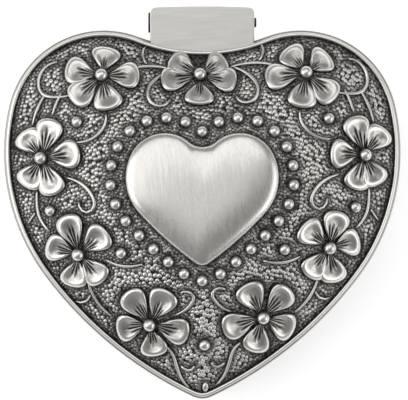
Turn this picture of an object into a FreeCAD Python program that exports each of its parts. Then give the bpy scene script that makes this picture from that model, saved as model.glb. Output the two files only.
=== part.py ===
"""Heart-shaped trinket box: a cast heart tub on three bun feet, and a domed lid that swings up on a
pinned hinge behind the notch.

Millimetres. +Z is up, +Y points to the hinge and -Y to the tip of the heart. The origin is on the
table, under the middle of the box. Everything is drawn in the closed position.
"""

import FreeCAD, Part
import math
import os
import re
import Sketcher

# Each size: name, value in millimetres, what it is.
SIZES = [
    # The outline of the tub's lip, the largest heart. Insets are measured inwards from it.
    ("heart_half_width", 45.0, "widest point of the lip from the middle line"),
    ("heart_top", 39.1, "rear of the two lobes"),
    ("heart_notch_depth", 4.2, "bottom of the notch ahead of the lobes"),
    ("heart_tip", 44.5, "front of the tip, counted forwards"),
    ("heart_lobe_inset", 22.64, "middle of a lobe's curve inside the widest point"),
    ("heart_shoulder_radius", 22.0, "curve of a lobe"),
    ("heart_side_radius", 47.0, "curve of the widest part"),
    ("heart_flank_radius", 89.0, "nearly straight run to the tip"),
    ("heart_tip_radius", 5.0, "blunt tip"),
    # Tub
    ("foot_gap", 3.6, "from the table to the underside of the floor"),
    ("tub_top", 24.0, "upper face of the lip"),
    ("floor_thickness", 1.8, "tub's floor"),
    ("wall_inset", 1.2, "wall's outer face inside the lip's"),
    ("wall_thickness", 1.6, "tub's wall"),
    ("lip_height", 2.2, "lip moulding"),
    ("lip_round", 0.6, "edge radius of the lip moulding"),
    ("plinth_inset", 0.4, "plinth's outer face inside the lip's"),
    ("plinth_height", 2.6, "moulding round the bottom of the wall"),
    ("plinth_round", 0.5, "edge radius of the plinth"),
    # Feet
    ("foot_radius", 4.2, "bun foot at its widest"),
    ("foot_stud_radius", 1.5, "stud riveted through the floor"),
    ("rear_foot_x", 23.0, "rear feet from the middle line"),
    ("rear_foot_setback", 13.1, "rear feet ahead of the lobes of the lip"),
    ("tip_foot_setback", 13.5, "front foot behind the tip of the lip"),
    # Linings
    ("felt_thickness", 0.8, "felt under the floor"),
    ("felt_inset", 3.2, "edge of the felt inside the lip's"),
    ("felt_clearance", 0.5, "round each foot"),
    ("card_thickness", 0.8, "stiff card in the tub and in the lid"),
    ("card_clearance", 0.1, "card's edge from the metal round it"),
    ("lining_thickness", 0.8, "velvet strip on the wall"),
    ("lining_drop", 0.4, "top of the strip below the lid's register"),
    ("pad_clearance", 0.2, "pad's edge from what surrounds it"),
    ("floor_pad_thickness", 2.4, "velvet pad in the tub"),
    ("floor_pad_round", 0.9, "its upper edge"),
    ("lid_pad_thickness", 1.6, "velvet pad in the lid"),
    ("lid_pad_round", 0.7, "its lower edge"),
    # Lid
    ("parting_gap", 0.2, "between the lip and the closed lid"),
    ("lid_inset", 0.6, "lid's edge inside the lip's"),
    ("band_height", 3.0, "lid's side, up to the edge of the ground"),
    ("bead_width", 0.9, "rim bead"),
    ("bead_height", 0.6, "rim bead above the ground"),
    ("bead_round", 0.3, "its edges"),
    ("dome_rise", 12.0, "full dome above the edge of the ground"),
    ("dome_power", 2.2, "how flat the middle of the dome is"),
    ("dome_wall", 1.6, "lid's wall"),
    ("register_gap", 0.5, "register ring to the tub's wall, so that it can swing out"),
    ("register_wall", 0.8, "register ring"),
    ("register_depth", 1.0, "register ring below the lid's edge"),
    ("card_seat_height", 1.6, "seat of the lid's card above the lid's edge"),
    # Heart plaque on top of the lid
    ("plaque_half_width", 17.3, "widest point from the middle line"),
    ("plaque_top", 15.7, "rear of its lobes"),
    ("plaque_notch_depth", 3.1, "bottom of its notch ahead of its lobes"),
    ("plaque_tip", 14.2, "front of its tip, counted forwards"),
    ("plaque_lobe_inset", 8.87, "middle of a lobe's curve inside its widest point"),
    ("plaque_shoulder_radius", 8.5, "curve of a lobe"),
    ("plaque_side_radius", 12.0, "curve of the widest part"),
    ("plaque_flank_radius", 80.0, "nearly straight run to the tip"),
    ("plaque_tip_radius", 2.5, "blunt tip"),
    ("plaque_edge", 1.0, "upright edge of the plaque"),
    ("plaque_puff", 2.4, "its rounded top above that edge"),
    ("land_inset", 0.5, "lid's land inside the plaque's outline"),
    ("land_height", 1.0, "side of the land"),
    # Hinge
    ("hinge_setback", 1.8, "pin's axis behind the lobes of the lip"),
    ("hinge_drop", 1.6, "pin's axis below the upper face of the lip"),
    ("pin_radius", 1.1, "hinge pin"),
    ("pin_running_gap", 0.04, "pin to the bore of the barrel"),
    ("pin_stand_out", 0.5, "pin's end past the right lug"),
    ("pin_head_radius", 2.3, "flat head outside the left lug"),
    ("pin_head_thickness", 0.45, "flat head"),
    ("pin_chamfer", 0.2, "pin's plain end"),
    ("barrel_radius", 2.0, "tub's knuckle"),
    ("barrel_side_gap", 0.15, "between the barrel and each lug"),
    ("arm_rear_depth", 4.8, "underside of the arm at the stop face, below the pin's axis"),
    ("arm_front_depth", 9.9, "underside of the arm at the wall, below the pin's axis"),
    ("arm_lip_gap", 0.3, "top of the arm below the lip"),
    ("stop_offset", 1.0, "stop face behind the pin's axis"),
    ("leaf_width", 23.6, "hinge leaf across both lugs"),
    ("leaf_overhang", 3.6, "rear edge of the leaf behind the pin's axis"),
    ("leaf_thickness", 1.4, "leaf's plate"),
    ("leaf_gap", 0.2, "between the barrel and the leaf"),
    ("leaf_crown", 0.3, "bow of the leaf's rear edge"),
    ("leaf_corner", 1.3, "rear corners of the leaf"),
    ("leaf_edge_round", 0.25, "upper edge of the leaf"),
    ("lug_thickness", 1.6, "lugs that hold the pin"),
    ("lug_radius", 2.4, "lug round the pin"),
]

# How far out the sections of the lid's dome lie, as shares of the ground's outline.
DOME_SHARES = (1.0, 0.93, 0.84, 0.73, 0.61, 0.48, 0.35)
# The same for the hollow under it, which starts at an upright wall.
HOLLOW_SHARES = (0.9, 0.8, 0.68, 0.55, 0.42)
# The hollow's sections are narrower by this share of the wall, which keeps the sloping wall even.
HOLLOW_LEAN = 0.57
HOLLOW_DROP = 0.85
PLAQUE_SHARES = (1.0, 0.97, 0.88, 0.7, 0.4)

ROUND_RADII = ("shoulder_radius", "side_radius", "flank_radius", "tip_radius")
HEART_RADII = ("notch_radius", *ROUND_RADII)
HEART_SIZES = ("half_width", "top", "tip", *ROUND_RADII)
# A word that isn't a function's name.
SIZE_NAME = re.compile(r"\b[a-z][a-z_0-9]*\b(?!\()")
TOLERANCE = 1e-4

GROUND_INSET = "(lid_inset + bead_width)"
TUB_HOLLOW_INSET = "(wall_inset + wall_thickness)"
LINING_INNER_INSET = "(wall_inset + wall_thickness + lining_thickness)"
REGISTER_INSET = "(wall_inset + wall_thickness + register_gap)"
MOUTH_INSET = "(wall_inset + wall_thickness + register_gap + register_wall)"
FLOOR_TOP = "(foot_gap + floor_thickness)"
LID_BOTTOM = "(tub_top + parting_gap)"
GROUND_EDGE = "(tub_top + parting_gap + band_height)"
CARD_SEAT = "(tub_top + parting_gap + card_seat_height)"
HINGE_Y = "(heart_top + hinge_setback)"
HINGE_HEIGHT = "(tub_top - hinge_drop)"
STOP_FACE = "(heart_top + hinge_setback + stop_offset)"
LEAF_UNDERSIDE = "(tub_top - hinge_drop + barrel_radius + leaf_gap)"
LEAF_REAR = "(heart_top + hinge_setback + leaf_overhang)"
LEAF_FRONT = "(heart_top - heart_notch_depth - lid_inset - bead_width)"

document = FreeCAD.newDocument("heart_trinket_box")


# ---------------------------------------------------------------- sizes and bindings


def make_sheet():
    """The spreadsheet that every sub-part reads its sizes from."""
    sheet = document.addObject("Spreadsheet::Sheet", "Sizes")
    for row, (name, value, meaning) in enumerate(SIZES, start=1):
        sheet.set(f"A{row}", meaning)
        sheet.set(f"B{row}", str(value))
        sheet.setAlias(f"B{row}", name)
    document.recompute()
    return sheet


def formula(text):
    """The expression that reads each named size of text from the sheet."""
    return SIZE_NAME.sub(r"Sizes.\g<0>", text)


def number(text):
    """The present value of a formula, for the first position of a sketch's lines."""
    return float(sizes.evalExpression(formula(text)))


def bind(thing, **properties):
    """Sets each property of an object to a formula in named sizes."""
    for name, text in properties.items():
        thing.setExpression(name, formula(text))


def place(thing, x="0", y="0", z="0"):
    """Binds an object's position to the sheet."""
    for axis, text in (("x", x), ("y", y), ("z", z)):
        thing.setExpression(f"Placement.Base.{axis}", formula(text))


def new_body(label):
    body = document.addObject("PartDesign::Body", label)
    body.Label = label
    return body


def plane_of(body, role):
    """One of the body's own origin planes or axes."""
    return next(item for item in body.Origin.OriginFeatures if item.Role == role)


def new_sketch(body, name, plane="XY_Plane", height="0"):
    """A sketch of the body, on one of its origin planes or at a height above it."""
    sketch = body.newObject("Sketcher::SketchObject", name)
    sketch.AttachmentSupport = [(plane_of(body, plane), "")]
    sketch.MapMode = "FlatFace"
    sketch.setExpression("AttachmentOffset.Base.z", formula(height))
    return sketch


def hold(sketch, text, kind, *where):
    """Adds a dimension whose value is a formula in named sizes."""
    index = sketch.addConstraint(Sketcher.Constraint(kind, *where, number(text)))
    sketch.setExpression(f"Constraints[{index}]", formula(text))


def join(sketch, kind, *where):
    """Adds a constraint that has no value."""
    sketch.addConstraint(Sketcher.Constraint(kind, *where))


# ---------------------------------------------------------------- sketch outlines


def heart_formulas(family, inset, share):
    """The nine dimensions of a heart, moved in by inset and then scaled by share."""
    depth = f"{family}_notch_depth"
    lobe_x = f"({family}_half_width - {family}_lobe_inset)"
    texts = {name: f"{family}_{name}" for name in HEART_SIZES}
    texts["notch"] = f"{family}_top - {depth}"
    # The notch's curve is tangent to both lobes, and is hollow, so an inset makes it larger.
    hollow = f"{lobe_x} ^ 2 / (2 * {depth}) + {depth} / 2 - {family}_shoulder_radius"
    texts = {name: f"({text} - {inset}) * {share}" for name, text in texts.items()}
    return {**texts, "notch_radius": f"({hollow} + {inset}) * {share}"}


def heart_centres(size):
    """Centres of a heart's arcs on the right, worked out from its tangent curves."""
    notch = FreeCAD.Vector(0, size["notch"] + size["notch_radius"])
    tip = FreeCAD.Vector(0, size["tip_radius"] - size["tip"])
    shoulder_y = size["top"] - size["shoulder_radius"]
    reach = size["notch_radius"] + size["shoulder_radius"]
    shoulder = FreeCAD.Vector(math.sqrt(reach**2 - (notch.y - shoulder_y) ** 2), shoulder_y)
    side_x = size["half_width"] - size["side_radius"]
    reach = size["side_radius"] - size["shoulder_radius"]
    side = FreeCAD.Vector(side_x, shoulder_y - math.sqrt(reach**2 - (shoulder.x - side_x) ** 2))
    # The flank's centre is at a known distance from the tip's and from the side's.
    apart = side - tip
    from_tip = size["flank_radius"] - size["tip_radius"]
    from_side = size["flank_radius"] - size["side_radius"]
    along = (from_tip**2 - from_side**2 + apart.Length**2) / (2 * apart.Length)
    across = math.sqrt(from_tip**2 - along**2)
    unit = FreeCAD.Vector(apart.x, apart.y).normalize()
    flank = tip + unit * along + FreeCAD.Vector(-unit.y, unit.x) * across
    return {"notch": notch, "shoulder": shoulder, "side": side, "flank": flank, "tip": tip}


def direction(start, end):
    return math.atan2(end.y - start.y, end.x - start.x)


def add_arc(sketch, centre, radius, start, end):
    circle = Part.Circle(centre, FreeCAD.Vector(0, 0, 1), radius)
    return sketch.addGeometry(Part.ArcOfCircle(circle, start, end))


def add_heart(sketch, family, inset="0", share="1"):
    """Draws a heart of eight tangent arcs and fixes it with dimensions from the sheet."""
    texts = heart_formulas(family, inset, share)
    size = {name: number(text) for name, text in texts.items()}
    centre = heart_centres(size)
    at_notch = direction(centre["notch"], centre["shoulder"])
    at_shoulder = direction(centre["side"], centre["shoulder"])
    at_side = direction(centre["flank"], centre["side"])
    at_tip = direction(centre["flank"], centre["tip"])
    right = (
        ("flank", at_tip, at_side),
        ("side", at_side, at_shoulder),
        ("shoulder", at_shoulder, at_notch + math.pi),
    )
    arcs = {"tip": add_arc(sketch, centre["tip"], size["tip_radius"], -math.pi - at_tip, at_tip)}
    for name, start, end in right:
        arcs[name, 1] = add_arc(sketch, centre[name], size[f"{name}_radius"], start, end)
    arcs["notch"] = add_arc(
        sketch, centre["notch"], size["notch_radius"], -math.pi - at_notch, at_notch
    )
    for name, start, end in reversed(right):
        mirrored = FreeCAD.Vector(-centre[name].x, centre[name].y)
        radius = size[f"{name}_radius"]
        arcs[name, -1] = add_arc(sketch, mirrored, radius, math.pi - end, math.pi - start)
    fix_heart(sketch, arcs, texts)


def fix_heart(sketch, arcs, texts):
    """Constraints of a heart: tangent joints, equal halves, and its nine dimensions."""
    start, end, middle = 1, 2, 3
    joints = (
        (arcs["tip"], end, arcs["flank", 1], start),
        (arcs["flank", 1], end, arcs["side", 1], start),
        (arcs["side", 1], end, arcs["shoulder", 1], start),
        (arcs["shoulder", 1], end, arcs["notch"], end),
        (arcs["notch"], start, arcs["shoulder", -1], start),
        (arcs["shoulder", -1], end, arcs["side", -1], start),
        (arcs["side", -1], end, arcs["flank", -1], start),
        (arcs["flank", -1], end, arcs["tip"], start),
    )
    for joint in joints:
        join(sketch, "Tangent", *joint)
    for name in ("notch", "tip"):
        join(sketch, "PointOnObject", arcs[name], middle, -2)
        hold(sketch, texts[f"{name}_radius"], "Radius", arcs[name])
    for name in ("shoulder", "side", "flank"):
        hold(sketch, texts[f"{name}_radius"], "Radius", arcs[name, 1])
        join(sketch, "Equal", arcs[name, 1], arcs[name, -1])
    notch_y = f"{texts['notch']} + {texts['notch_radius']}"
    tip_y = f"{texts['tip_radius']} - {texts['tip']}"
    shoulder_y = f"{texts['top']} - {texts['shoulder_radius']}"
    side_x = f"{texts['half_width']} - {texts['side_radius']}"
    hold(sketch, notch_y, "DistanceY", -1, 1, arcs["notch"], middle)
    hold(sketch, tip_y, "DistanceY", -1, 1, arcs["tip"], middle)
    for side in (1, -1):
        hold(sketch, shoulder_y, "DistanceY", -1, 1, arcs["shoulder", side], middle)
    hold(sketch, side_x, "DistanceX", -1, 1, arcs["side", 1], middle)
    hold(sketch, side_x, "DistanceX", arcs["side", -1], middle, -1, 1)


def add_circle(sketch, radius, x="0", y="0"):
    """A circle whose radius and centre are formulas."""
    centre = FreeCAD.Vector(number(x), number(y))
    index = sketch.addGeometry(Part.Circle(centre, FreeCAD.Vector(0, 0, 1), number(radius)))
    hold(sketch, radius, "Radius", index)
    hold(sketch, x, "DistanceX", -1, 1, index, 3)
    hold(sketch, y, "DistanceY", -1, 1, index, 3)


def add_polygon(sketch, corners):
    """A closed run of straight lines through corners given as pairs of formulas."""
    points = [FreeCAD.Vector(number(x), number(y)) for x, y in corners]
    pairs = zip(points, points[1:] + points[:1])
    lines = [sketch.addGeometry(Part.LineSegment(start, end)) for start, end in pairs]
    for index, (line, (x, y)) in enumerate(zip(lines, corners)):
        join(sketch, "Coincident", lines[index - 1], 2, line, 1)
        hold(sketch, x, "DistanceX", -1, 1, line, 1)
        hold(sketch, y, "DistanceY", -1, 1, line, 1)


# ---------------------------------------------------------------- features


def pad(body, sketch, length, **options):
    """Raises a sketch by a formula's length and returns the feature."""
    feature = body.newObject("PartDesign::Pad", f"{sketch.Name}_pad")
    feature.Profile = sketch
    bind(feature, Length=length)
    for name, value in options.items():
        setattr(feature, name, value)
    document.recompute()
    return feature


def pocket(body, sketch, length=None, **options):
    """Cuts a sketch down by a formula's length, or right through, and checks that it cut."""
    before = body.Shape.Volume
    feature = body.newObject("PartDesign::Pocket", f"{sketch.Name}_pocket")
    feature.Profile = sketch
    for name, value in options.items():
        setattr(feature, name, value)
    if length is None:
        feature.Type = "ThroughAll"
    else:
        bind(feature, Length=length)
    document.recompute()
    if not body.Shape.Volume < before - TOLERANCE:
        raise RuntimeError(f"{feature.Label} of {body.Label} removed nothing")
    return feature


def heart_pad(body, name, height, length, inset="0", inner=None, family="heart"):
    """A heart-shaped plate, or a ring if an inner inset is given."""
    sketch = new_sketch(body, name, height=height)
    add_heart(sketch, family, inset)
    if inner is not None:
        add_heart(sketch, family, inner)
    return pad(body, sketch, length)


def heart_pocket(body, name, height, length, inset="0", share="1"):
    """A heart-shaped pocket, cut down from a height."""
    sketch = new_sketch(body, name, height=height)
    add_heart(sketch, "heart", inset, share)
    return pocket(body, sketch, length)


def heart_loft(body, kind, name, sections, family, inset):
    """A smooth solid, or a hollow, through hearts given as pairs of share and height."""
    sketches = []
    for step, (share, height) in enumerate(sections):
        sketch = new_sketch(body, f"{name}_section_{step}", height=height)
        add_heart(sketch, family, inset, share)
        sketches.append(sketch)
    document.recompute()
    feature = body.newObject(f"PartDesign::{kind}", name)
    feature.Profile = sketches[0]
    feature.Sections = sketches[1:]
    document.recompute()
    return feature


def fillet(body, base, edges, radius):
    """Rounds the named edges of a feature by a formula's radius."""
    if not edges:
        raise RuntimeError(f"no edge to round on {base.Label}")
    feature = body.newObject("PartDesign::Fillet", f"{base.Name}_round")
    feature.Base = (base, edges)
    bind(feature, Radius=radius)
    document.recompute()
    return feature


def edges_where(feature, test):
    """Names of a feature's edges that pass a test."""
    return [f"Edge{i}" for i, edge in enumerate(feature.Shape.Edges, start=1) if test(edge)]


def is_level(edge, height):
    """Whether an edge lies at a height."""
    box = edge.BoundBox
    return abs(box.ZMin - height) < TOLERANCE and abs(box.ZMax - height) < TOLERANCE


def heart_edges(feature, height, inset="0", family="heart"):
    """Edges at a height that belong to one heart outline, told apart by their radii."""
    texts = heart_formulas(family, inset, "1")
    radii = [number(texts[name]) for name in HEART_RADII]
    level = number(height)

    def belongs(edge):
        if not is_level(edge, level) or not isinstance(edge.Curve, Part.Circle):
            return False
        return any(abs(edge.Curve.Radius - radius) < TOLERANCE for radius in radii)

    return edges_where(feature, belongs)


def through_stock(body, name, inset):
    """Removes everything inside a heart, so that a piece ends on the face of the wall or lid."""
    sketch = new_sketch(body, name)
    add_heart(sketch, "heart", inset)
    return pocket(body, sketch, SideType="Symmetric")


# ---------------------------------------------------------------- tub


def foot_places():
    """Each foot's name and its centre."""
    return (
        ("foot_left", "-rear_foot_x", "heart_top - rear_foot_setback"),
        ("foot_right", "rear_foot_x", "heart_top - rear_foot_setback"),
        ("foot_tip", "0", "tip_foot_setback - heart_tip"),
    )


def make_base_shell():
    """Heart tub with a rounded lip and plinth, open at the top."""
    body = new_body("base_shell")
    height = "tub_top - foot_gap"
    heart_pad(body, "tub_block", "foot_gap", height, "wall_inset")
    heart_pad(body, "plinth", "foot_gap", "plinth_height", "plinth_inset")
    lip = heart_pad(body, "lip", "tub_top - lip_height", "lip_height")
    edges = heart_edges(lip, "tub_top") + heart_edges(lip, "tub_top - lip_height")
    rounded = fillet(body, lip, edges, "lip_round")
    edges = heart_edges(rounded, "foot_gap + plinth_height", "plinth_inset")
    fillet(body, rounded, edges, "plinth_round")
    heart_pocket(body, "hollow", "tub_top", f"tub_top - {FLOOR_TOP}", TUB_HOLLOW_INSET)
    holes = new_sketch(body, "stud_holes", height=FLOOR_TOP)
    for _, x, y in foot_places():
        add_circle(holes, "foot_stud_radius", x, y)
    pocket(body, holes, "floor_thickness")
    return body


def make_foot(label, x, y):
    """Flat-bottomed bun foot, with the stud that holds it in the floor."""
    body = new_body(label)
    sketch = new_sketch(body, f"{label}_profile", "XZ_Plane")
    sole = number("foot_radius - foot_gap / 2")
    height = number("foot_gap")
    stud = number("foot_stud_radius")
    top = number(FLOOR_TOP)
    corners = [(0, 0), (sole, 0), (sole, height), (stud, height), (stud, top), (0, top)]
    points = [FreeCAD.Vector(*corner) for corner in corners]
    spans = [(0, 1), (2, 3), (3, 4), (4, 5), (5, 0)]
    bottom, shelf, side, crown, axis = (
        sketch.addGeometry(Part.LineSegment(points[start], points[end])) for start, end in spans
    )
    middle = FreeCAD.Vector(sole, height / 2)
    bulge = add_arc(sketch, middle, height / 2, -math.pi / 2, math.pi / 2)
    run = [(bottom, bulge), (bulge, shelf), (shelf, side), (side, crown), (crown, axis), (axis, bottom)]
    for first, second in run:
        join(sketch, "Coincident", first, 2, second, 1)
    join(sketch, "Coincident", axis, 2, -1, 1)
    for level in (shelf, crown):
        join(sketch, "Horizontal", level)
    for upright in (side, axis):
        join(sketch, "Vertical", upright)
    hold(sketch, "foot_radius - foot_gap / 2", "DistanceX", -1, 1, bulge, 3)
    hold(sketch, "foot_gap / 2", "DistanceY", -1, 1, bulge, 3)
    hold(sketch, "foot_gap / 2", "Radius", bulge)
    for end in (1, 2):
        join(sketch, "Vertical", bulge, end, bulge, 3)
    hold(sketch, "foot_stud_radius", "DistanceX", -1, 1, side, 2)
    hold(sketch, FLOOR_TOP, "DistanceY", -1, 1, side, 2)
    turned = body.newObject("PartDesign::Revolution", f"{label}_turned")
    turned.Profile = sketch
    turned.ReferenceAxis = (sketch, ["V_Axis"])
    place(body, x, y)
    return body


def make_base_felt():
    """Felt under the floor, cut out round the feet."""
    body = new_body("base_felt")
    sketch = new_sketch(body, "felt_outline", height="foot_gap - felt_thickness")
    add_heart(sketch, "heart", "felt_inset")
    pad(body, sketch, "felt_thickness")
    holes = new_sketch(body, "felt_cutouts", height="foot_gap")
    for _, x, y in foot_places():
        add_circle(holes, "foot_radius + felt_clearance", x, y)
    pocket(body, holes, "felt_thickness")
    return body


def make_floor_card():
    """Stiff card on the tub's floor, which carries the pad."""
    body = new_body("floor_card")
    inset = f"({TUB_HOLLOW_INSET} + card_clearance)"
    heart_pad(body, "floor_card_outline", FLOOR_TOP, "card_thickness", inset)
    return body


def make_floor_pad():
    """Velvet-covered pad in the bottom of the tub."""
    body = new_body("floor_pad")
    inset = f"({LINING_INNER_INSET} + pad_clearance)"
    bottom = f"({FLOOR_TOP} + card_thickness)"
    base = heart_pad(body, "floor_pad_outline", bottom, "floor_pad_thickness", inset)
    edges = heart_edges(base, f"{bottom} + floor_pad_thickness", inset)
    fillet(body, base, edges, "floor_pad_round")
    return body


def make_wall_lining():
    """Velvet strip round the inside of the wall, from the card up to the lid's register."""
    body = new_body("wall_lining")
    bottom = f"({FLOOR_TOP} + card_thickness)"
    top = f"({LID_BOTTOM} - register_depth - lining_drop)"
    heart_pad(body, "strip", bottom, f"{top} - {bottom}", TUB_HOLLOW_INSET, LINING_INNER_INSET)
    return body


# ---------------------------------------------------------------- hinge


def make_hinge_knuckle():
    """Tub's half of the hinge: barrel, arm to the wall and the face that stops the open lid."""
    body = new_body("hinge_knuckle")
    width = "leaf_width - 2 * (lug_thickness + barrel_side_gap)"
    barrel = new_sketch(body, "barrel", "YZ_Plane")
    add_circle(barrel, "barrel_radius", HINGE_Y, HINGE_HEIGHT)
    pad(body, barrel, width, SideType="Symmetric")
    arm = new_sketch(body, "arm", "YZ_Plane")
    inside = f"heart_top - heart_notch_depth - {TUB_HOLLOW_INSET}"
    arm_top = "tub_top - lip_height - arm_lip_gap"
    corners = [
        (inside, arm_top),
        (inside, f"{HINGE_HEIGHT} - arm_front_depth"),
        (STOP_FACE, f"{HINGE_HEIGHT} - arm_rear_depth"),
        (STOP_FACE, arm_top),
    ]
    add_polygon(arm, corners)
    pad(body, arm, width, SideType="Symmetric")
    through_stock(body, "wall_face", "wall_inset")
    bore = new_sketch(body, "bore", "YZ_Plane")
    add_circle(bore, "pin_radius + pin_running_gap", HINGE_Y, HINGE_HEIGHT)
    pocket(body, bore, SideType="Symmetric")
    return body


def leaf_plate(body):
    """Flat plate of the leaf, with a bowed rear edge and round rear corners."""
    sketch = new_sketch(body, "plate", height=LEAF_UNDERSIDE)
    half = number("leaf_width / 2")
    front = number(LEAF_FRONT)
    rear = number(LEAF_REAR)
    corner = number(f"{LEAF_REAR} - leaf_crown")
    bow_radius = "((leaf_width / 2) ^ 2 + leaf_crown ^ 2) / (2 * leaf_crown)"
    corners = ((-half, corner), (-half, front), (half, front), (half, corner))
    points = [FreeCAD.Vector(*at) for at in corners]
    left, near, right = (
        sketch.addGeometry(Part.LineSegment(start, end)) for start, end in zip(points, points[1:])
    )
    bow = sketch.addGeometry(Part.Arc(points[3], FreeCAD.Vector(0, rear), points[0]))
    for first, second in ((left, near), (near, right), (right, bow), (bow, left)):
        join(sketch, "Coincident", first, 2, second, 1)
    join(sketch, "Horizontal", near)
    join(sketch, "Vertical", left)
    join(sketch, "Vertical", right)
    hold(sketch, "leaf_width / 2", "DistanceX", -1, 1, near, 2)
    hold(sketch, "leaf_width", "DistanceX", near, 1, near, 2)
    hold(sketch, LEAF_FRONT, "DistanceY", -1, 1, near, 1)
    hold(sketch, bow_radius, "Radius", bow)
    hold(sketch, f"{LEAF_REAR} - {bow_radius}", "DistanceY", -1, 1, bow, 3)
    join(sketch, "PointOnObject", bow, 3, -2)
    plate = pad(body, sketch, "leaf_thickness")

    def rear_corner(edge):
        upright = edge.BoundBox.ZLength > number("leaf_thickness") / 2
        return upright and edge.BoundBox.YMin > number(HINGE_Y)

    return fillet(body, plate, edges_where(plate, rear_corner), "leaf_corner")


def make_hinge_leaf():
    """Lid's half of the hinge: a plate behind the notch with two lugs that hold the pin."""
    body = new_body("hinge_leaf")
    plate = leaf_plate(body)
    top = number(f"{LEAF_UNDERSIDE} + leaf_thickness")

    def outer_top(edge):
        return is_level(edge, top) and edge.BoundBox.YMax > number(LEAF_FRONT) + TOLERANCE

    fillet(body, plate, edges_where(plate, outer_top), "leaf_edge_round")
    lug = new_sketch(body, "lug", "YZ_Plane", "leaf_width / 2 - lug_thickness")
    add_lug(lug)
    raised = pad(body, lug, "lug_thickness")
    mirrored = body.newObject("PartDesign::Mirrored", "other_lug")
    mirrored.Originals = [raised]
    mirrored.MirrorPlane = (plane_of(body, "YZ_Plane"), [""])
    body.Tip = mirrored
    document.recompute()
    through_stock(body, "lid_face", "lid_inset")
    hole = new_sketch(body, "pin_hole", "YZ_Plane")
    add_circle(hole, "pin_radius", HINGE_Y, HINGE_HEIGHT)
    pocket(body, hole, SideType="Symmetric")
    return body


def add_lug(sketch):
    """Lug's outline: half round below the pin and straight sides up into the plate."""
    y, z, radius = (number(text) for text in (HINGE_Y, HINGE_HEIGHT, "lug_radius"))
    top = f"{LEAF_UNDERSIDE} + leaf_thickness / 2"
    level = number(top)
    round_end = add_arc(sketch, FreeCAD.Vector(y, z), radius, -math.pi, 0)
    corners = ((y + radius, z), (y + radius, level), (y - radius, level), (y - radius, z))
    points = [FreeCAD.Vector(*corner) for corner in corners]
    rear, upper, front = (
        sketch.addGeometry(Part.LineSegment(start, end)) for start, end in zip(points, points[1:])
    )
    for first, second in ((rear, upper), (upper, front)):
        join(sketch, "Coincident", first, 2, second, 1)
    join(sketch, "Tangent", round_end, 2, rear, 1)
    join(sketch, "Tangent", front, 2, round_end, 1)
    join(sketch, "Vertical", rear)
    join(sketch, "Horizontal", upper)
    hold(sketch, "lug_radius", "Radius", round_end)
    hold(sketch, HINGE_Y, "DistanceX", -1, 1, round_end, 3)
    hold(sketch, HINGE_HEIGHT, "DistanceY", -1, 1, round_end, 3)
    hold(sketch, top, "DistanceY", -1, 1, upper, 1)
    join(sketch, "Vertical", front)


def make_hinge_pin():
    """Steel pin with a flat head on the left and a chamfered end on the right."""
    body = new_body("hinge_pin")
    sketch = new_sketch(body, "pin_profile")
    head = "-leaf_width / 2 - pin_head_thickness"
    shoulder = "-leaf_width / 2"
    end = "leaf_width / 2 + pin_stand_out"
    corners = [
        (head, "0"),
        (end, "0"),
        (end, "pin_radius - pin_chamfer"),
        (f"{end} - pin_chamfer", "pin_radius"),
        (shoulder, "pin_radius"),
        (shoulder, "pin_head_radius"),
        (head, "pin_head_radius"),
    ]
    add_polygon(sketch, corners)
    turned = body.newObject("PartDesign::Revolution", "pin_turned")
    turned.Profile = sketch
    turned.ReferenceAxis = (sketch, ["H_Axis"])
    place(body, y=HINGE_Y, z=HINGE_HEIGHT)
    return body


# ---------------------------------------------------------------- lid


def dome_height(share):
    """Height of the dome's outside where its outline is this share of the ground's."""
    return f"{GROUND_EDGE} + dome_rise * (1 - {share} ^ dome_power)"


def make_lid_shell():
    """Cast lid: side band, rim bead, dome with a land for the plaque, register ring, hollow."""
    body = new_body("lid_shell")
    heart_pad(body, "band", LID_BOTTOM, "band_height", "lid_inset")
    bead = heart_pad(body, "rim_bead", GROUND_EDGE, "bead_height", "lid_inset", GROUND_INSET)
    bead_top = f"{GROUND_EDGE} + bead_height"
    edges = heart_edges(bead, bead_top, "lid_inset") + heart_edges(bead, bead_top, GROUND_INSET)
    fillet(body, bead, edges, "bead_round")
    dome = [(str(share), dome_height(share)) for share in DOME_SHARES]
    heart_loft(body, "AdditiveLoft", "dome", dome, "heart", GROUND_INSET)
    land = f"{dome_height(DOME_SHARES[-1])} - land_height"
    heart_pad(body, "land", land, "land_height", "land_inset", family="plaque")
    ring_bottom = f"{LID_BOTTOM} - register_depth"
    heart_pad(body, "register", ring_bottom, "register_depth", REGISTER_INSET, MOUTH_INSET)
    heart_pocket(body, "mouth", CARD_SEAT, "card_seat_height", MOUTH_INSET)
    cut_lid_hollow(body)
    return body


def cut_lid_hollow(body):
    """Hollow under the dome: upright from the card's seat, then parallel to the outside."""
    lean = f"{HOLLOW_LEAN} * dome_wall / heart_half_width"
    drop = f"{HOLLOW_DROP} * dome_wall"
    sections = [
        (f"({share} - {lean})", f"{dome_height(share)} - {drop}") for share in HOLLOW_SHARES
    ]
    share, height = sections[0]
    heart_pocket(body, "hollow_side", height, f"{height} - {CARD_SEAT}", GROUND_INSET, share)
    before = body.Shape.Volume
    heart_loft(body, "SubtractiveLoft", "hollow_dome", sections, "heart", GROUND_INSET)
    if not body.Shape.Volume < before - TOLERANCE:
        raise RuntimeError("the hollow under the dome removed nothing")


def make_heart_plaque():
    """Puffed heart that sits on the lid's land."""
    body = new_body("heart_plaque")
    seat = f"({dome_height(DOME_SHARES[-1])})"
    heart_pad(body, "plaque_edge_wall", seat, "plaque_edge", family="plaque")
    puff = [
        (str(share), f"{seat} + plaque_edge + plaque_puff * sqrt(1 - {share} ^ 4)")
        for share in PLAQUE_SHARES
    ]
    heart_loft(body, "AdditiveLoft", "puffed_top", puff, "plaque", "0")
    return body


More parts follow.
